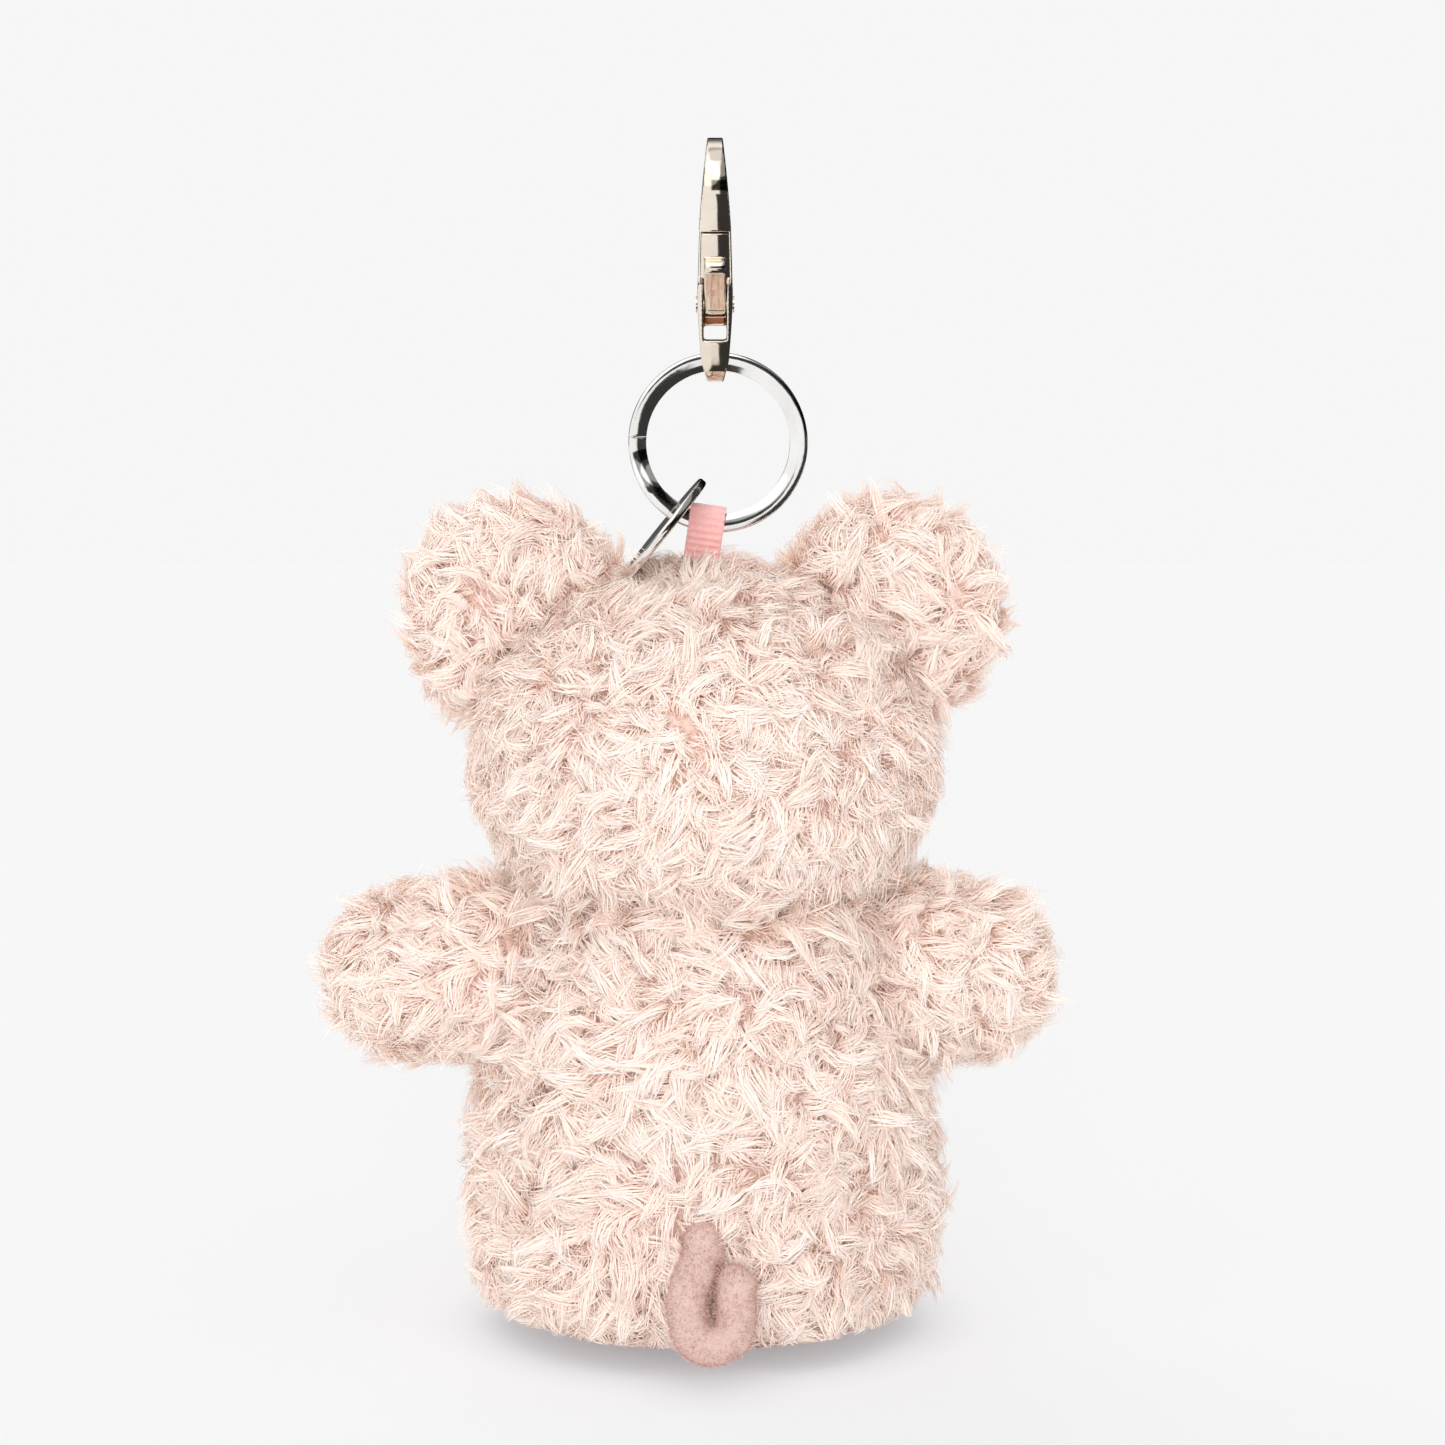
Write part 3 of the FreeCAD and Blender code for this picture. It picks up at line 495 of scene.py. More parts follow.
def fur_mesh(name, corners, tone, material, reach=1.0):
    """One mesh from ribbon corners, with its map along and across the fibres."""
    ribbons, steps = corners.shape[:2]
    mesh = bpy.data.meshes.new(name)
    mesh.vertices.add(ribbons * steps * 2)
    mesh.vertices.foreach_set("co", corners.astype(np.float32).ravel())
    base = (np.arange(ribbons) * steps * 2)[:, None] + (np.arange(steps - 1) * 2)[None]
    quads = np.stack([base, base + 1, base + 3, base + 2], axis=-1).reshape(-1, 4)
    count = len(quads)
    mesh.loops.add(count * 4)
    mesh.loops.foreach_set("vertex_index", quads.astype(np.int32).ravel())
    mesh.polygons.add(count)
    mesh.polygons.foreach_set("loop_start", np.arange(0, count * 4, 4, dtype=np.int32))
    mesh.polygons.foreach_set("use_smooth", np.ones(count, bool))
    grid = np.zeros((ribbons, steps, 2, 2), np.float32)
    grid[..., 0, 0] = tone[:, None] - 0.012
    grid[..., 1, 0] = tone[:, None] + 0.012
    grid[..., 1] = (np.linspace(0.02, 0.98, steps) * np.broadcast_to(reach, ribbons)[:, None])[..., None]
    layer = mesh.uv_layers.new(name="OFBake")
    layer.data.foreach_set("uv", grid.reshape(-1, 2)[quads.ravel()].ravel())
    mesh.materials.append(material)
    mesh.update()
    mesh.validate()
    piece = bpy.data.objects.new(name, mesh)
    bpy.context.scene.collection.objects.link(piece)
    return piece


def lay_fur(name, body, skin, keep, comb, material, length=LOCK_LENGTH):
    """Covers a skin with locks over a short upright pile, in pieces small enough to keep every triangle."""
    rng = np.random.default_rng(sum(ord(c) for c in name) * 31 + len(name))
    base = name == "torso"
    every, tones, reaches = [], [], []
    for step, tall, thick, fibres, upright in (
        (LOCK_SPACING, length, LOCK_WIDTH, FIBRES, 0.0),
        (LOCK_SPACING * 0.85, length * 0.6, LOCK_WIDTH * 1.25, UNDERCOAT_FIBRES, 0.35),
    ):
        points, normals = skin.roots(step, rng)
        kept, share = keep(points, normals)
        points, normals, share = points[kept], normals[kept], share[kept]
        roots = points - normals * BACKING_INSET
        long = tall * rng.uniform(0.78, 1.25, len(roots)) * share
        corners, tone = grow_locks(
            roots, normals, comb(points), long, thick, rng, base, fibres, upright
        )
        every.append(corners.reshape(-1, *corners.shape[2:]))
        # Painted shade: the upright pile's fibres get lower tones and only the root end of the colour ramp,
        # as they lie deep in the fur.
        tones.append(tone.ravel() * (1.0 - 0.4 * upright))
        reaches.append(np.full(tone.size, 1.0 - 1.3 * upright))
    corners, tone, reach = np.concatenate(every), np.concatenate(tones), np.concatenate(reaches)
    order = np.argsort(np.arctan2(corners[:, 0, 0, 1], corners[:, 0, 0, 0]), kind="stable")
    pieces = math.ceil(len(order) * FUR_SEGMENTS * 2 / PIECE_LIMIT)
    for n, part in enumerate(np.array_split(order, pieces)):
        label = f"{name}_fur_{n + 1}" if pieces > 1 else f"{name}_fur"
        piece = fur_mesh(label, corners[part], tone[part], material, reach[part])
        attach(piece, body)


def backing(name, body, skin, replaced, material, inset=BACKING_INSET):
    """The stuffed cloth form under the fur."""
    bumps = np.array([noise.noise(Vector(p) * 260.0) for p in skin.points]) * 0.3 * MM
    points = skin.points - skin.normals * (inset - bumps[:, None])
    points[:, 2] = np.maximum(points[:, 2], hem_height(points, name == "torso_body"))
    piece = mesh_object(name, points, [tuple(int(v) for v in f) for f in skin.faces], material)
    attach(piece, body)
    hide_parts(*replaced)
    return piece


# ---- the plush ----
def middle(node):
    low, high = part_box(node)
    return (low + high) / 2


def half_width(node):
    low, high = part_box(node)
    return (high.x - low.x) / 2


def far_from(points, centre, radius, soft):
    """0 within a radius of a point, rising to 1 over a soft distance."""
    gap = np.linalg.norm(points - np.array(centre), axis=1)
    return np.clip((gap - radius) / soft, 0, 1)


def stretch_arm(arm, by):
    """Draws an arm's fur out, or in, towards its end."""
    out = np.abs(arm.points[:, 0])
    share = np.clip((out - out.min()) / (out.max() - out.min()), 0, 1)
    points = arm.points.copy()
    points[:, 0] += np.sign(points[:, 0]) * share * by
    arm.reshape(points)


def make_plush(materials):
    """The backing forms and the fur of the torso, head, ears, arms and feet."""
    torso = Skin(turned_tree("torso_cover"), (0, 0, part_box("torso_cover")[1].z / 2), 5)
    head = Skin(turned_tree("head_cover"), middle("head_cover"), 5)
    skins = {}
    for side in SIDES:
        for part, node in (("ear", f"{side}_ear"), ("arm", f"{side}_arm_cover"), ("foot", f"{side}_foot")):
            skins[f"{side}_{part}"] = Skin(tree_of(*node_points(node)), middle(node), 4)
        stretch_arm(skins[f"{side}_arm"], ARM_STRETCH[side])
    arms = [skins["left_arm"], skins["right_arm"]]
    ears = [skins["left_ear"], skins["right_ear"]]

    cloth = materials["backing"]
    backing("torso_body", "plush", torso, ["torso_cover", "torso_filling", "pellet_bag"], cloth)
    backing("head_body", "plush", head, ["head_cover", "head_filling"], cloth)
    for side in SIDES:
        backing(f"{side}_ear_body", "plush", skins[f"{side}_ear"], [f"{side}_ear"], cloth)
        backing(f"{side}_foot_body", "plush", skins[f"{side}_foot"], [f"{side}_foot"], cloth)
        nodes = [f"{side}_arm_cover", f"{side}_arm_filling"]
        backing(f"{side}_arm_body", f"{side}_arm", skins[f"{side}_arm"], nodes, cloth)

    tail = JOINTS["tail_lift"]["pos_m"]
    snout_low, snout_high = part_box("snout")
    snout = (snout_low + snout_high) / 2
    eyes = [middle(f"{side}_eye") for side in SIDES]
    for eye, side in zip(eyes, SIDES):
        eye.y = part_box(f"{side}_eye")[0].y + 2.5 * MM

    def torso_keep(points, normals):
        """Where the torso's fur grows, and how long: short at the base and by the tail."""
        kept = head.depth(points) < FUR_OVERLAP
        for arm in arms:
            kept &= arm.depth(points) < FUR_OVERLAP
        kept &= points[:, 2] > 0.9 * MM
        share = 0.5 + 0.62 * np.clip(points[:, 2] / (9 * MM), 0, 1)
        share *= 1 + 0.3 * np.clip(1 + head.depth(points) / (7 * MM), 0, 1)
        curl_place = np.array(tail) + (-0.002, 0.002, -0.009)
        share *= 0.35 + 0.65 * far_from(points, curl_place, 5 * MM, 5 * MM)
        kept &= far_from(points, tail, 2.6 * MM, 1 * MM) > 0
        return kept, share

    def head_keep(points, normals):
        """Where the head's fur grows, and how long: none on the snout, short by the eyes."""
        kept = torso.depth(points) < FUR_OVERLAP
        for ear in ears:
            kept &= ear.depth(points) < 2.2 * MM
        oval = ((points[:, 0] - snout.x) / (snout_high.x - snout.x)) ** 2
        oval += ((points[:, 2] - snout.z) / (snout_high.z - snout.z)) ** 2
        front = points[:, 1] < 0
        kept &= ~(front & (oval < 0.85))
        share = np.where(front, 0.4 + 0.6 * np.clip((oval - 0.85) / 1.6, 0, 1), 1.0)
        share *= 1 + 0.4 * np.clip(1 + torso.depth(points) / (9 * MM), 0, 1)
        for eye in eyes:
            share *= 0.35 + 0.65 * far_from(points, eye, 2.8 * MM, 5 * MM)
            kept &= far_from(points, eye, 2.6 * MM, 1 * MM) > 0
        return kept, share

    def torso_comb(points):
        """How the torso's locks lie: in whorls, down over the tail's root, up off the floor."""
        flow = wander(points, 95.0, 1) * 1.9 + wander(points, 230.0, 2) * 1.2
        over = 1 - far_from(points, np.array(tail) + (0, 0, 0.005), 2 * MM, 5 * MM)
        flow = flow + np.array([0.0, 0.0, -3.0]) * over[:, None]
        rise = np.clip(1 - points[:, 2] / (10 * MM), 0, 1)[:, None]
        return flow + np.array([0.0, 0.0, -0.45]) + np.array([0.0, 0.0, 1.3]) * rise

    def head_comb(points):
        """How the head's locks lie: in whorls, down at the neck, away from eyes and snout."""
        low = np.clip((95 * MM - points[:, 2]) / (28 * MM), 0, 1)[:, None]
        flow = wander(points, 95.0, 3) * 1.9 + wander(points, 230.0, 4) * 1.3
        down = np.array([0.0, 0.0, -1.0])
        flow = flow * (1 - 0.55 * low) + down * (0.25 + 1.2 * low)
        for eye in eyes:
            away = points - np.array(eye)
            flow = flow + unit(away) * (3 * (1 - far_from(points, eye, 3 * MM, 6 * MM)))[:, None]
        away = points - np.array((snout.x, points[:, 1].min(), snout.z))
        return flow + unit(away) * np.clip(1 - np.linalg.norm(away, axis=1) / 0.018, 0, 1)[:, None] * 2

    lay_fur("torso", "plush", torso, torso_keep, torso_comb, materials["fur"])
    lay_fur("head", "plush", head, head_keep, head_comb, materials["fur"])
    for side, sign in SIDES.items():
        make_side_fur(side, sign, skins, torso, head, materials)


def make_side_fur(side, sign, skins, torso, head, materials):
    """The fur of one side's ear, arm and foot."""
    ear, arm, foot = (skins[f"{side}_{part}"] for part in ("ear", "arm", "foot"))
    lining = middle(f"{side}_ear_lining")
    lining_radius = half_width(f"{side}_ear_lining")
    sole = middle(f"{side}_foot_sole")
    sole_radius = half_width(f"{side}_foot_sole")

    def ear_keep(points, normals):
        kept = head.depth(points) < FUR_OVERLAP
        gap = np.hypot(points[:, 0] - lining.x, points[:, 2] - lining.z)
        kept &= ~((points[:, 1] < 0) & (gap < lining_radius - 0.6 * MM))
        share = np.where(points[:, 1] < 0, np.clip(gap / lining_radius - 0.45, 0.35, 1), 1.0)
        return kept, share

    def ear_comb(points):
        away = unit(points - np.array((0, 0, 0.085)))
        flow = wander(points, 110.0, 5 + sign) * 1.7 + wander(points, 260.0, 6) * 1.2
        return flow + away * 0.9

    def arm_keep(points, normals):
        return torso.depth(points) < 1.6 * MM, np.ones(len(points))

    def arm_comb(points):
        flow = wander(points, 100.0, 8 + sign) * 1.7 + wander(points, 240.0, 9) * 1.2
        return flow + np.array([sign * 0.9, 0.0, -0.35])

    def foot_keep(points, normals):
        gap = np.hypot(points[:, 0] - sole.x, points[:, 2] - sole.z)
        kept = torso.depth(points) < FUR_OVERLAP
        kept &= ~((normals[:, 1] < -0.7) & (gap < sole_radius - 0.4 * MM))
        share = 0.4 + 0.6 * np.clip(points[:, 2] / (6 * MM), 0, 1)
        share *= np.where(normals[:, 1] < -0.5, 0.6, 1.0)
        return kept & (points[:, 2] > 0.8 * MM), share

    def foot_comb(points):
        flow = wander(points, 110.0, 11 + sign) * 1.6 + wander(points, 260.0, 12) * 1.2
        return flow + np.array([0.0, -0.7, -0.3])

    lay_fur(f"{side}_ear", "plush", ear, ear_keep, ear_comb, materials["fur"])
    lay_fur(f"{side}_arm", f"{side}_arm", arm, arm_keep, arm_comb, materials["fur"])
    lay_fur(f"{side}_foot", "plush", foot, foot_keep, foot_comb, materials["fur"], FOOT_LOCK_LENGTH)


# ---- sewn-on trims ----
def rounded(name, node, voxel, passes, material):
    """A CAD node's form with soft edges, as cloth or cast metal has them, in even small faces."""
    copy = bpy.data.objects.new(name, frame["nodes"][node].data.copy())
    bpy.context.scene.collection.objects.link(copy)
    grid = copy.modifiers.new("grid", "REMESH")
    grid.mode = "VOXEL"
    grid.voxel_size = voxel
    soft = copy.modifiers.new("soft", "SMOOTH")
    soft.factor = 0.5
    soft.iterations = passes
    bpy.context.view_layer.update()
    shown = copy.evaluated_get(bpy.context.evaluated_depsgraph_get())
    mesh = bpy.data.meshes.new_from_object(shown)
    bpy.data.objects.remove(copy)
    mesh.name = name
    mesh.materials.clear()
    mesh.materials.append(material)
    mesh.polygons.foreach_set("use_smooth", [True] * len(mesh.polygons))
    piece = bpy.data.objects.new(name, mesh)
    bpy.context.scene.collection.objects.link(piece)
    return piece


def mesh_arrays(mesh):
    """A mesh's points, its triangles and its point normals."""
    points = np.zeros(len(mesh.vertices) * 3, np.float32)
    mesh.vertices.foreach_get("co", points)
    normals = np.zeros(len(mesh.vertices) * 3, np.float32)
    mesh.vertices.foreach_get("normal", normals)
    mesh.calc_loop_triangles()
    faces = np.zeros(len(mesh.loop_triangles) * 3, np.int32)
    mesh.loop_triangles.foreach_get("vertices", faces)
    return points.reshape(-1, 3).astype(float), faces.reshape(-1, 3), normals.reshape(-1, 3).astype(float)


def wrinkle(mesh, depth, scale, seed):
    """Moves a mesh's points in and out by a smooth noise."""
    points, _, normals = mesh_arrays(mesh)
    shift = Vector((seed * 1.7, seed * 2.3, seed * 0.9))
    level = np.array([noise.noise(Vector(p) * scale + shift) for p in points])
    points = points + normals * (level * depth)[:, None]
    mesh.vertices.foreach_set("co", points.astype(np.float32).ravel())
    mesh.update()


def nap(name, body, mesh, material):
    """The short pile of a velour: one tapered fibre after another all over a mesh."""
    rng = np.random.default_rng(len(name) * 101 + ord(name[0]))
    points, faces, normals = mesh_arrays(mesh)
    a, b, c = (points[faces[:, n]] for n in range(3))
    area = np.linalg.norm(np.cross(b - a, c - a), axis=1) / 2
    count = int(area.sum() * NAP_DENSITY)
    root, normal = scattered(points, normals, faces, area, count, rng)
    way = unit(normal + rng.normal(0, 0.7, (count, 3)) * 0.6)
    way = unit(way + normal * 0.3)
    side = unit(np.cross(way, rng.normal(0, 1, (count, 3))))
    tall = NAP_LENGTH * rng.uniform(0.5, 1.2, (count, 1))[:, None]
    s = np.array([0.0, 0.5, 1.0])[None, :, None]
    bow = normal[:, None] * (s * (1 - s)) * 0.2 * tall
    line = root[:, None] + way[:, None] * (s * tall) + bow
    half = NAP_WIDTH / 2 * np.array([1.0, 0.8, 0.25])[None, :, None] * side[:, None]
    corners = np.stack([line - half, line + half], axis=2)
    corners[..., 2] = np.maximum(corners[..., 2], FLOOR_CLEARANCE * 0.6)
    piece = fur_mesh(name, corners, rng.uniform(0.05, 0.95, count), material)
    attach(piece, body)


def slim_root(mesh):
    """Draws the tail's round root in, so that the torso's fur closes over it."""
    root = JOINTS["tail_lift"]["pos_m"]
    for vertex in mesh.vertices:
        share = min(max((vertex.co.z - root[2] + 4 * MM) / (5 * MM), 0), 1)
        vertex.co.x *= 1 - 0.2 * share
        vertex.co.y -= 1.4 * MM * share
    mesh.update()


def make_velour_piece(name, node, body, materials, voxel=0.3 * MM, passes=4, depth=0.25 * MM):
    """A velour trim: a soft-edged padded form with its own short pile."""
    piece = rounded(name, node, voxel, passes, materials["velour"])
    if node == "tail":
        slim_root(piece.data)
    wrinkle(piece.data, depth, 300.0, len(name))
    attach(piece, body)
    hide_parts(node)
    nap(f"{name}_nap", body, piece.data, materials["nap"])


def make_trims(materials):
    """The tail, the snout, the ears' linings and the feet's soles, in velour."""
    make_velour_piece("tail_tube", "tail", "tail", materials)
    make_velour_piece("snout_pad", "snout", "plush", materials)
    for side in SIDES:
        for part, node in (("ear_lining", f"{side}_ear_lining"), ("foot_sole", f"{side}_foot_sole")):
            make_velour_piece(f"{side}_{part}_patch", node, "plush", materials, 0.25 * MM, 3, 0.12 * MM)
        make_nostril(side, materials)


def tube(points, radius, around=8):
    """Points and faces of a round thread along a line, closed at both ends by points."""
    points = np.asarray(points, float)
    count = len(points)
    way = unit(np.gradient(points, axis=0))
    side = unit(np.cross(way, (0.0, 1.0, 0.001)))
    up = np.cross(way, side)
    taper = radius * np.sqrt(np.clip(1 - np.linspace(-1, 1, count) ** 6, 0.02, 1))
    angle = np.linspace(0, 2 * np.pi, around, endpoint=False)
    ring = np.cos(angle)[None, :, None] * side[:, None] + np.sin(angle)[None, :, None] * up[:, None]
    grid = (points[:, None] + ring * taper[:, None, None]).reshape(-1, 3)
    faces = band_faces(count, around)
    faces.append(tuple(range(around))[::-1])
    faces.append(tuple((count - 1) * around + j for j in range(around)))
    return grid, faces


def joined(name, parts, material):
    """One mesh object from several sets of points and faces."""
    points, faces, start = [], [], 0
    for p, f in parts:
        points.append(p)
        faces += [tuple(start + v for v in face) for face in f]
        start += len(p)
    return mesh_object(name, np.concatenate(points), faces, material)


def make_nostril(side, materials):
    """A nostril in satin stitch: threads side by side over a small oval."""
    low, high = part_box(f"{side}_nostril")
    centre, half = (low + high) / 2, (high - low) / 2
    threads = []
    rows = 13
    rng = np.random.default_rng(40 + SIDES[side])
    for n in range(rows):
        z = (n + 0.5) / rows * 2 - 1
        wide = half.x * math.sqrt(max(1 - z * z, 0.02)) + rng.uniform(0, 0.12) * MM
        s = np.linspace(-1, 1, 9)
        x = centre.x + s * wide
        y = high.y - (half.y * 1.5) * np.sqrt(np.clip(1 - s**2 * 0.9, 0, 1))
        line = np.stack([x, y, np.full(9, centre.z + z * half.z) + rng.normal(0, 0.02) * MM], axis=1)
        threads.append(tube(line, 0.19 * MM))
    piece = joined(f"{side}_nostril_stitch", threads, materials["thread"])
    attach(piece, "plush")
    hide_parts(f"{side}_nostril")


# ---- ribbon and metal ----
RIBBON_WIDTH = 5.0 * MM
RIBBON_THICKNESS = 0.5 * MM
RIBBON_RISE = 5.2 * MM  # from the sewn end to the middle of the ring's wire
RIBBON_HALF_GAP = 1.2 * MM
RIBBON_TOP = 6.95 * MM
RIB_PITCH = 1.0 * MM
RIB_DEPTH = 0.075 * MM


def smooth_line(corners, count):
    """Evenly spaced points along a smooth line near some corners, and its length."""
    points = np.asarray(corners, float)
    for _ in range(4):
        cut = [points[0]]
        for a, b in zip(points[:-1], points[1:]):
            cut += [a * 0.75 + b * 0.25, a * 0.25 + b * 0.75]
        points = np.array([*cut, points[-1]])
    gap = np.concatenate([[0], np.cumsum(np.linalg.norm(np.diff(points, axis=0), axis=1))])
    at = np.linspace(0, gap[-1], count)
    return np.stack([np.interp(at, gap, points[:, n]) for n in range(points.shape[1])], axis=1), gap[-1]


def make_ribbon(materials):
    """The grosgrain loop: cross ribs, a stiff woven edge, and two layers that meet at the head's seam."""
    joint = JOINTS["ribbon_swing"]
    root = Vector(joint["pos_m"])
    across = Vector(joint["axis"]).normalized()
    up = Vector((-across.z, 0, across.x))
    gap, rise = RIBBON_HALF_GAP + RIBBON_THICKNESS / 2, RIBBON_RISE - 1.3 * MM
    half = [(0.32 * MM, -0.2 * MM), (0.5 * MM, 1.2 * MM), (gap, rise), (gap, RIBBON_TOP)]
    half.append((gap * 0.55, RIBBON_TOP + 0.55 * MM))
    line, length = smooth_line(half + [(-y, z) for y, z in reversed(half)], 260)
    way = unit(np.gradient(line, axis=0))
    out = np.stack([-way[:, 1], way[:, 0]], axis=1) * -1
    steps = 18
    s = np.linspace(-1, 1, steps + 1)
    at = np.linspace(0, length, len(line))
    rib = np.cos(at / RIB_PITCH * np.pi) ** 2
    edge = 1 - np.clip((np.abs(s) - 0.86) / 0.14, 0, 1)
    points, faces = [], []
    for face in (1, -1):
        for i, (y, z) in enumerate(line):
            height = RIBBON_THICKNESS / 2 - RIB_DEPTH * 2 * rib[i] * edge
            x = s * (RIBBON_WIDTH / 2 - 0.04 * MM * rib[i])
            for j in range(steps + 1):
                shift = out[i] * height[j] * face * (1 - 0.35 * abs(s[j]) ** 12)
                points.append(root + across * x[j] + Vector((0, y + shift[0], 0)) + up * (z + shift[1]))
    rows = len(line)

    def at_corner(side, i, j):
        return (side * rows + i) * (steps + 1) + j

    for side in (0, 1):
        for i in range(rows - 1):
            for j in range(steps):
                quad = [at_corner(side, i, j), at_corner(side, i, j + 1)]
                quad += [at_corner(side, i + 1, j + 1), at_corner(side, i + 1, j)]
                faces.append(quad if side else quad[::-1])
    for i in range(rows - 1):
        for j, turn in ((0, False), (steps, True)):
            quad = [at_corner(0, i, j), at_corner(0, i + 1, j), at_corner(1, i + 1, j), at_corner(1, i, j)]
            faces.append(quad[::-1] if turn else quad)
    for i, turn in ((0, True), (rows - 1, False)):
        for j in range(steps):
            quad = [at_corner(0, i, j), at_corner(0, i, j + 1), at_corner(1, i, j + 1), at_corner(1, i, j)]
            faces.append(quad[::-1] if turn else quad)
    piece = mesh_object("ribbon_band", points, faces, materials["ribbon"])
    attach(piece, "ribbon")
    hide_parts("ribbon_loop")


RING_MEAN = 11.25 * MM
WIRE_WIDTH = 2.5 * MM
COIL_THICKNESS = 0.9 * MM
COIL_PITCH = 1.0 * MM
WIRE_SLOPE = 0.72  # how far the wire thins towards the inside of the ring
SPLIT_ANGLE = 3.0  # degrees, as are the next three
CRIMP = (-5.0, -38.0)  # where the wire crosses over from one coil to the other
TAG_DIP = 26.0
TAG_TIP = -8.0
CLASP_TAPER_START = 10.0 * MM  # above the clasp's eye
CLASP_TAPER_UP = 0.24
CLASP_TAPER_DOWN = 0.28
CLASP_CROWN = 0.4 * MM
CLASP_DROP = 0.9 * MM  # of the hook's top, as the casting's corners are rounded off


def make_ring(materials):
    """The split ring: one length of drawn wire wound twice, with a step where it crosses over."""
    centre = np.array(JOINTS["ring_turn"]["pos_m"])
    angles = np.radians(np.arange(CRIMP[1] + 360 - 4, SPLIT_ANGLE - 360 - 0.01, -1.0))
    turns = np.degrees(angles)
    share = np.clip((turns - CRIMP[0]) / (CRIMP[1] - CRIMP[0]), 0, 1)
    share = share**2 * (3 - 2 * share)
    depth = -COIL_PITCH / 2 + share * COIL_PITCH
    ends = np.minimum(turns[0] - turns, turns - turns[-1])
    blunt = np.sqrt(np.clip(ends / 1.5, 0.25, 1))
    section = []
    around = 40
    for n in range(around):
        turn = 2 * math.pi * n / around
        c, d = math.cos(turn), math.sin(turn)
        r = math.copysign(abs(c) ** 0.5, c)
        y = math.copysign(abs(d) ** 0.45, d) * (1 - WIRE_SLOPE * max(0.12 - r, 0) ** 1.25)
        section.append((r * WIRE_WIDTH / 2, y * COIL_THICKNESS / 2))
    points = []
    for n, angle in enumerate(angles):
        out = np.array((math.cos(angle), 0, math.sin(angle)))
        for r, y in section:
            sideways = np.array((0, depth[n] + y * blunt[n], 0))
            points.append(centre + out * (RING_MEAN + r * blunt[n]) + sideways)
    faces = band_faces(len(angles), around, True)
    faces.append(tuple(range(around)))
    last = (len(angles) - 1) * around
    faces.append(tuple(last + j for j in range(around))[::-1])
    piece = mesh_object("split_ring", points, faces, materials["nickel"])
    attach(piece, "ring")
    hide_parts("key_ring")


def crown_clasp(mesh):
    """Tapers a clasp part's ends and crowns its narrow faces, as worn castings are."""
    low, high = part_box("clasp_body")
    middle_x, half = (low.x + high.x) / 2, half_width("clasp_body")
    _, middle_y, eye = JOINTS["clasp_swing"]["pos_m"]
    start = eye + CLASP_TAPER_START
    for vertex in mesh.vertices:
        x, y, z = vertex.co
        up = min(max((z - start) / (high.z - start), 0), 1)
        down = min(max((eye - z) / (eye - low.z), 0), 1)
        across = (x - middle_x) / half
        taper = (1 - CLASP_TAPER_UP * up) * (1 - CLASP_TAPER_DOWN * down)
        vertex.co.x = middle_x + (x - middle_x) * taper
        vertex.co.y = y - math.tanh((y - middle_y) / (2 * MM)) * CLASP_CROWN * across**2
        vertex.co.z = z - CLASP_DROP * up
    mesh.update()


def make_clasp(materials):
    """The cast hook and its gate, with the soft edges of tumbled castings."""
    for name, node, body, voxel, passes in (
        ("clasp_casting", "clasp_body", "clasp", 0.14 * MM, 16),
        ("gate_casting", "gate", "gate", 0.12 * MM, 10),
    ):
        piece = rounded(name, node, voxel, passes, materials["gold"])
        crown_clasp(piece.data)
        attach(piece, body)
        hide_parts(node)


def make_tag(materials):
    """The disc tag, tipped down from its hole so that its low side sinks in the fur."""
    piece = rounded("blank_disc", "disc_tag", 0.16 * MM, 4, materials["tag"])
    joint = JOINTS["tag_swing"]
    hole = Vector(joint["pos_m"])
    turn = Matrix.Rotation(math.radians(-TAG_DIP), 4, Vector(joint["axis"]))
    turn = Matrix.Rotation(math.radians(TAG_TIP), 4, "Y") @ turn
    piece.data.transform(Matrix.Translation(hole) @ turn @ Matrix.Translation(-hole))
    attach(piece, "tag")
    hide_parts("disc_tag")


# ---- studio ----
def make_camera():
    """The camera behind the toy, level and a little above it, as a catalogue picture has it."""
    data = bpy.data.cameras.new("camera")
    data.lens = LENS
    data.sensor_width = SENSOR
    data.clip_start = 0.01
    data.clip_end = 50.0
    camera = bpy.data.objects.new("camera", data)
    bpy.context.scene.collection.objects.link(camera)
    back = Vector((0, math.cos(ELEVATION), math.sin(ELEVATION)))
    camera.location = AIM + back * (FRAME_WIDTH * LENS / SENSOR)
    camera.rotation_mode = "QUATERNION"
    camera.rotation_quaternion = (-back).to_track_quat("-Z", "Y")
    bpy.context.scene.camera = camera


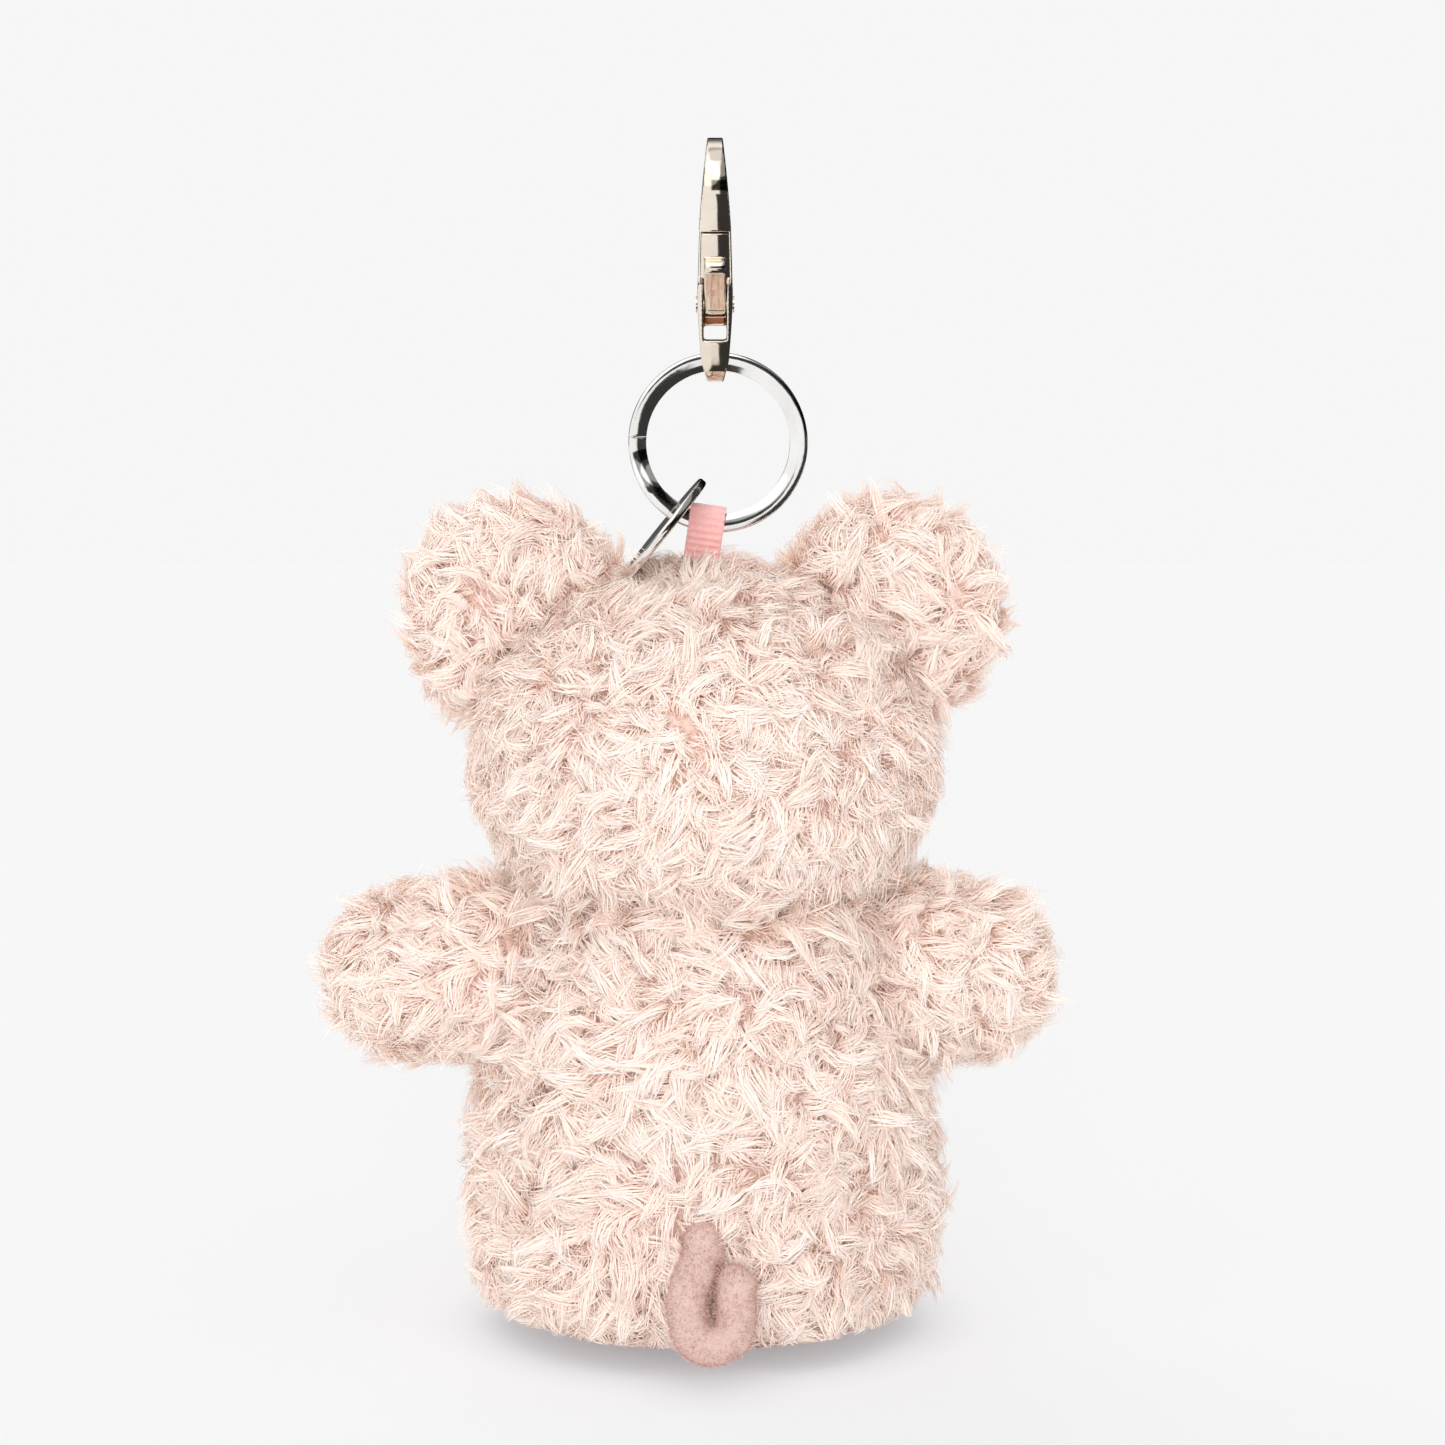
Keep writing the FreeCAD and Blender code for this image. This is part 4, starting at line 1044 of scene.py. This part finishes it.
def make_floor():
    """A plain pale floor, whose glow seen by the camera carries a painted contact shadow near the toy.
    Metal sees dark flags on it, to one side and behind the toy.
    """
    shader = Shader("floor")
    cloud = shader.noise(3.0, 1.0)
    shader.colour(shader.ramp(cloud, [(0.0, srgb(243, 243, 244)), (1.0, srgb(244, 244, 245))]))
    shader.set(Roughness=0.9, Specular_IOR_Level=0.0)
    path = shader.add("LightPath")
    # Painted contact shadow: ambient occlusion darkens the floor's even pale glow, which only the camera
    # sees, to a bluish grey near the toy.
    close = shader.add("AmbientOcclusion", Distance=FLOOR_SHADE)
    close.samples = 12
    shade = shader.ramp(
        close.outputs["AO"],
        [(0.0, srgb(176, 176, 179)), (0.55, srgb(232, 232, 235)), (1.0, srgb(246, 246, 246))],
    )
    pale = shader.add("Emission")
    shader.link(shade, pale.inputs["Color"])
    parts = shader.parts_of(shader.add("TexCoord").outputs["Object"])
    flag = shader.step(parts["X"], -0.035, -0.05)
    near = shader.times(shader.step(parts["Y"], 0.07, 0.1), shader.step(parts["Y"], 0.3, 0.27))
    near = shader.times(near, shader.step(parts["X"], 0.04, 0.03))
    dark = shader.add("Emission", Color=(0.04, 0.04, 0.04, 1))
    share = shader.times(path.outputs["Is Camera Ray"], FLOOR_EVENNESS)
    mirrored = shader.times(path.outputs["Is Glossy Ray"], shader.larger(flag, near))
    lit = shader.blend_surfaces(share, shader.surface.outputs[0], pale.outputs[0])
    both = shader.blend_surfaces(mirrored, lit, dark.outputs[0])
    shader.link(both, shader.tree.nodes["Material Output"].inputs["Surface"])
    corners = [(x * FLOOR_REACH, y * FLOOR_REACH, 0) for x, y in ((-1, -1), (1, -1), (1, 1), (-1, 1))]
    floor = mesh_object("floor", corners, [(0, 1, 2, 3)], shader.material, False)


def make_world():
    """An even pale surround, which metal sees as a studio with dark flags beside soft boxes."""
    world = bpy.data.worlds.new("studio")
    bpy.context.scene.world = world
    world.use_nodes = True
    nodes = Nodes(world.node_tree)
    nodes.tree.nodes.clear()
    path = nodes.add("LightPath")
    parts = nodes.parts_of(nodes.add("TexCoord").outputs["Generated"])

    def levels(value, stops):
        return nodes.ramp(value, [(at, (level, level, level, 1)) for at, level in stops])

    def halved(socket):
        node = nodes.add("Math", operation="MULTIPLY_ADD")
        node.inputs[1].default_value = 0.5
        node.inputs[2].default_value = 0.5
        nodes.link(socket, node.inputs[0])
        return node.outputs[0]

    sideways, forward = halved(parts["X"]), halved(parts["Y"])
    across = levels(sideways, [(0.0, 0.4), (0.05, 0.06), (0.36, 0.04), (0.41, 1.0), (0.6, 1.0),
                               (0.9, 1.0), (0.93, 0.08), (0.97, 0.08), (1.0, 0.7)])
    up = levels(parts["Z"], [(0.0, 1.0), (0.02, 0.04), (0.38, 0.04), (0.43, 1.0),
                             (0.91, 1.0), (0.95, 0.5), (1.0, 0.5)])
    open_side = levels(sideways, [(0.0, 0.0), (0.57, 0.0), (0.62, 1.0), (1.0, 1.0)])
    behind = levels(forward, [(0.0, 0.1), (0.1, 0.14), (0.22, 1.0), (1.0, 1.0)])
    banded = nodes.mix(open_side, up, (1, 1, 1, 1))
    studio = nodes.mix(1.0, nodes.mix(1.0, across, banded, "MULTIPLY"), behind, "MULTIPLY")
    light = nodes.mix(path.outputs["Is Glossy Ray"], AMBIENT, studio)
    colour = nodes.mix(path.outputs["Is Camera Ray"], light, srgb(246, 246, 246))
    surround = nodes.add("Background")
    nodes.link(colour, surround.inputs["Color"])
    nodes.link(surround.outputs[0], nodes.add("OutputWorld").inputs["Surface"])


def make_lamp(name, azimuth, elevation, strength, width):
    """A soft far lamp, given by where it stands round the object."""
    data = bpy.data.lights.new(name, "SUN")
    data.energy = strength
    data.angle = math.radians(width)
    lamp = bpy.data.objects.new(name, data)
    bpy.context.scene.collection.objects.link(lamp)
    turn, rise = math.radians(azimuth), math.radians(elevation)
    place = Vector((math.sin(turn) * math.cos(rise), -math.cos(turn) * math.cos(rise), math.sin(rise)))
    lamp.rotation_mode = "QUATERNION"
    lamp.rotation_quaternion = place.to_track_quat("Z", "Y")
    return lamp


def finish_hardware(materials):
    """Gives the CAD nodes that are shown as they are their finishes."""
    finishes = {"gate_pin": "gold", "gate_spring": "bronze"}
    for side in SIDES:
        finishes[f"{side}_eye"] = "bead"
        finishes[f"{side}_eye_washer"] = "washer"
    for node, finish in finishes.items():
        data = frame["nodes"][node].data
        data.materials.clear()
        data.materials.append(materials[finish])


def make_materials():
    """Every material, by a short name."""
    grosgrain = (srgb(255, 186, 184), srgb(255, 204, 200), 2600, (0.5, 0.7), 0.0001)
    bead = (srgb(20, 16, 16), srgb(30, 24, 24), 900, (0.04, 0.09), 0.00001)
    washer = (srgb(225, 225, 222), srgb(238, 238, 236), 1500, (0.4, 0.6), 0.00002)
    thread = (srgb(168, 116, 106), srgb(190, 138, 128), 4000, (0.5, 0.7), 0.0001)
    return {
        "fur": fur_material(),
        "backing": backing_material(),
        "velour": velour_material(),
        "nap": nap_material(),
        "nickel": metal_material("nickel", srgb(238, 236, 232), srgb(248, 247, 245), (0.05, 0.12)),
        "tag": metal_material("tag_nickel", srgb(228, 222, 214), srgb(244, 241, 236), (0.07, 0.16)),
        "gold": metal_material("pale_gold", srgb(236, 222, 204), srgb(246, 236, 222), (0.05, 0.12)),
        "bronze": metal_material("bronze", srgb(128, 84, 62), srgb(160, 108, 84), (0.15, 0.3)),
        "ribbon": plain_material("grosgrain", *grosgrain, Sheen_Weight=0.3),
        "bead": plain_material("bead", *bead, Coat_Weight=0.6),
        "washer": plain_material("washer", *washer),
        "thread": plain_material("thread", *thread),
    }


def main():
    """Sets up the studio and makes every piece."""
    scene = bpy.context.scene
    scene.view_settings.view_transform = "Standard"
    scene.cycles.max_bounces = 16
    scene.cycles.diffuse_bounces = 12
    make_camera()
    make_world()
    make_floor()
    make_lamp("key", 160, 40, 0.27, 60)
    make_lamp("top", 205, 66, 0.3, 70)
    make_lamp("fill", 178, 12, 1.35, 30).visible_glossy = False
    make_lamp("front", 25, 24, 1.25, 60).visible_glossy = False
    materials = make_materials()
    make_plush(materials)
    make_trims(materials)
    make_ribbon(materials)
    make_ring(materials)
    make_clasp(materials)
    make_tag(materials)
    finish_hardware(materials)


main()
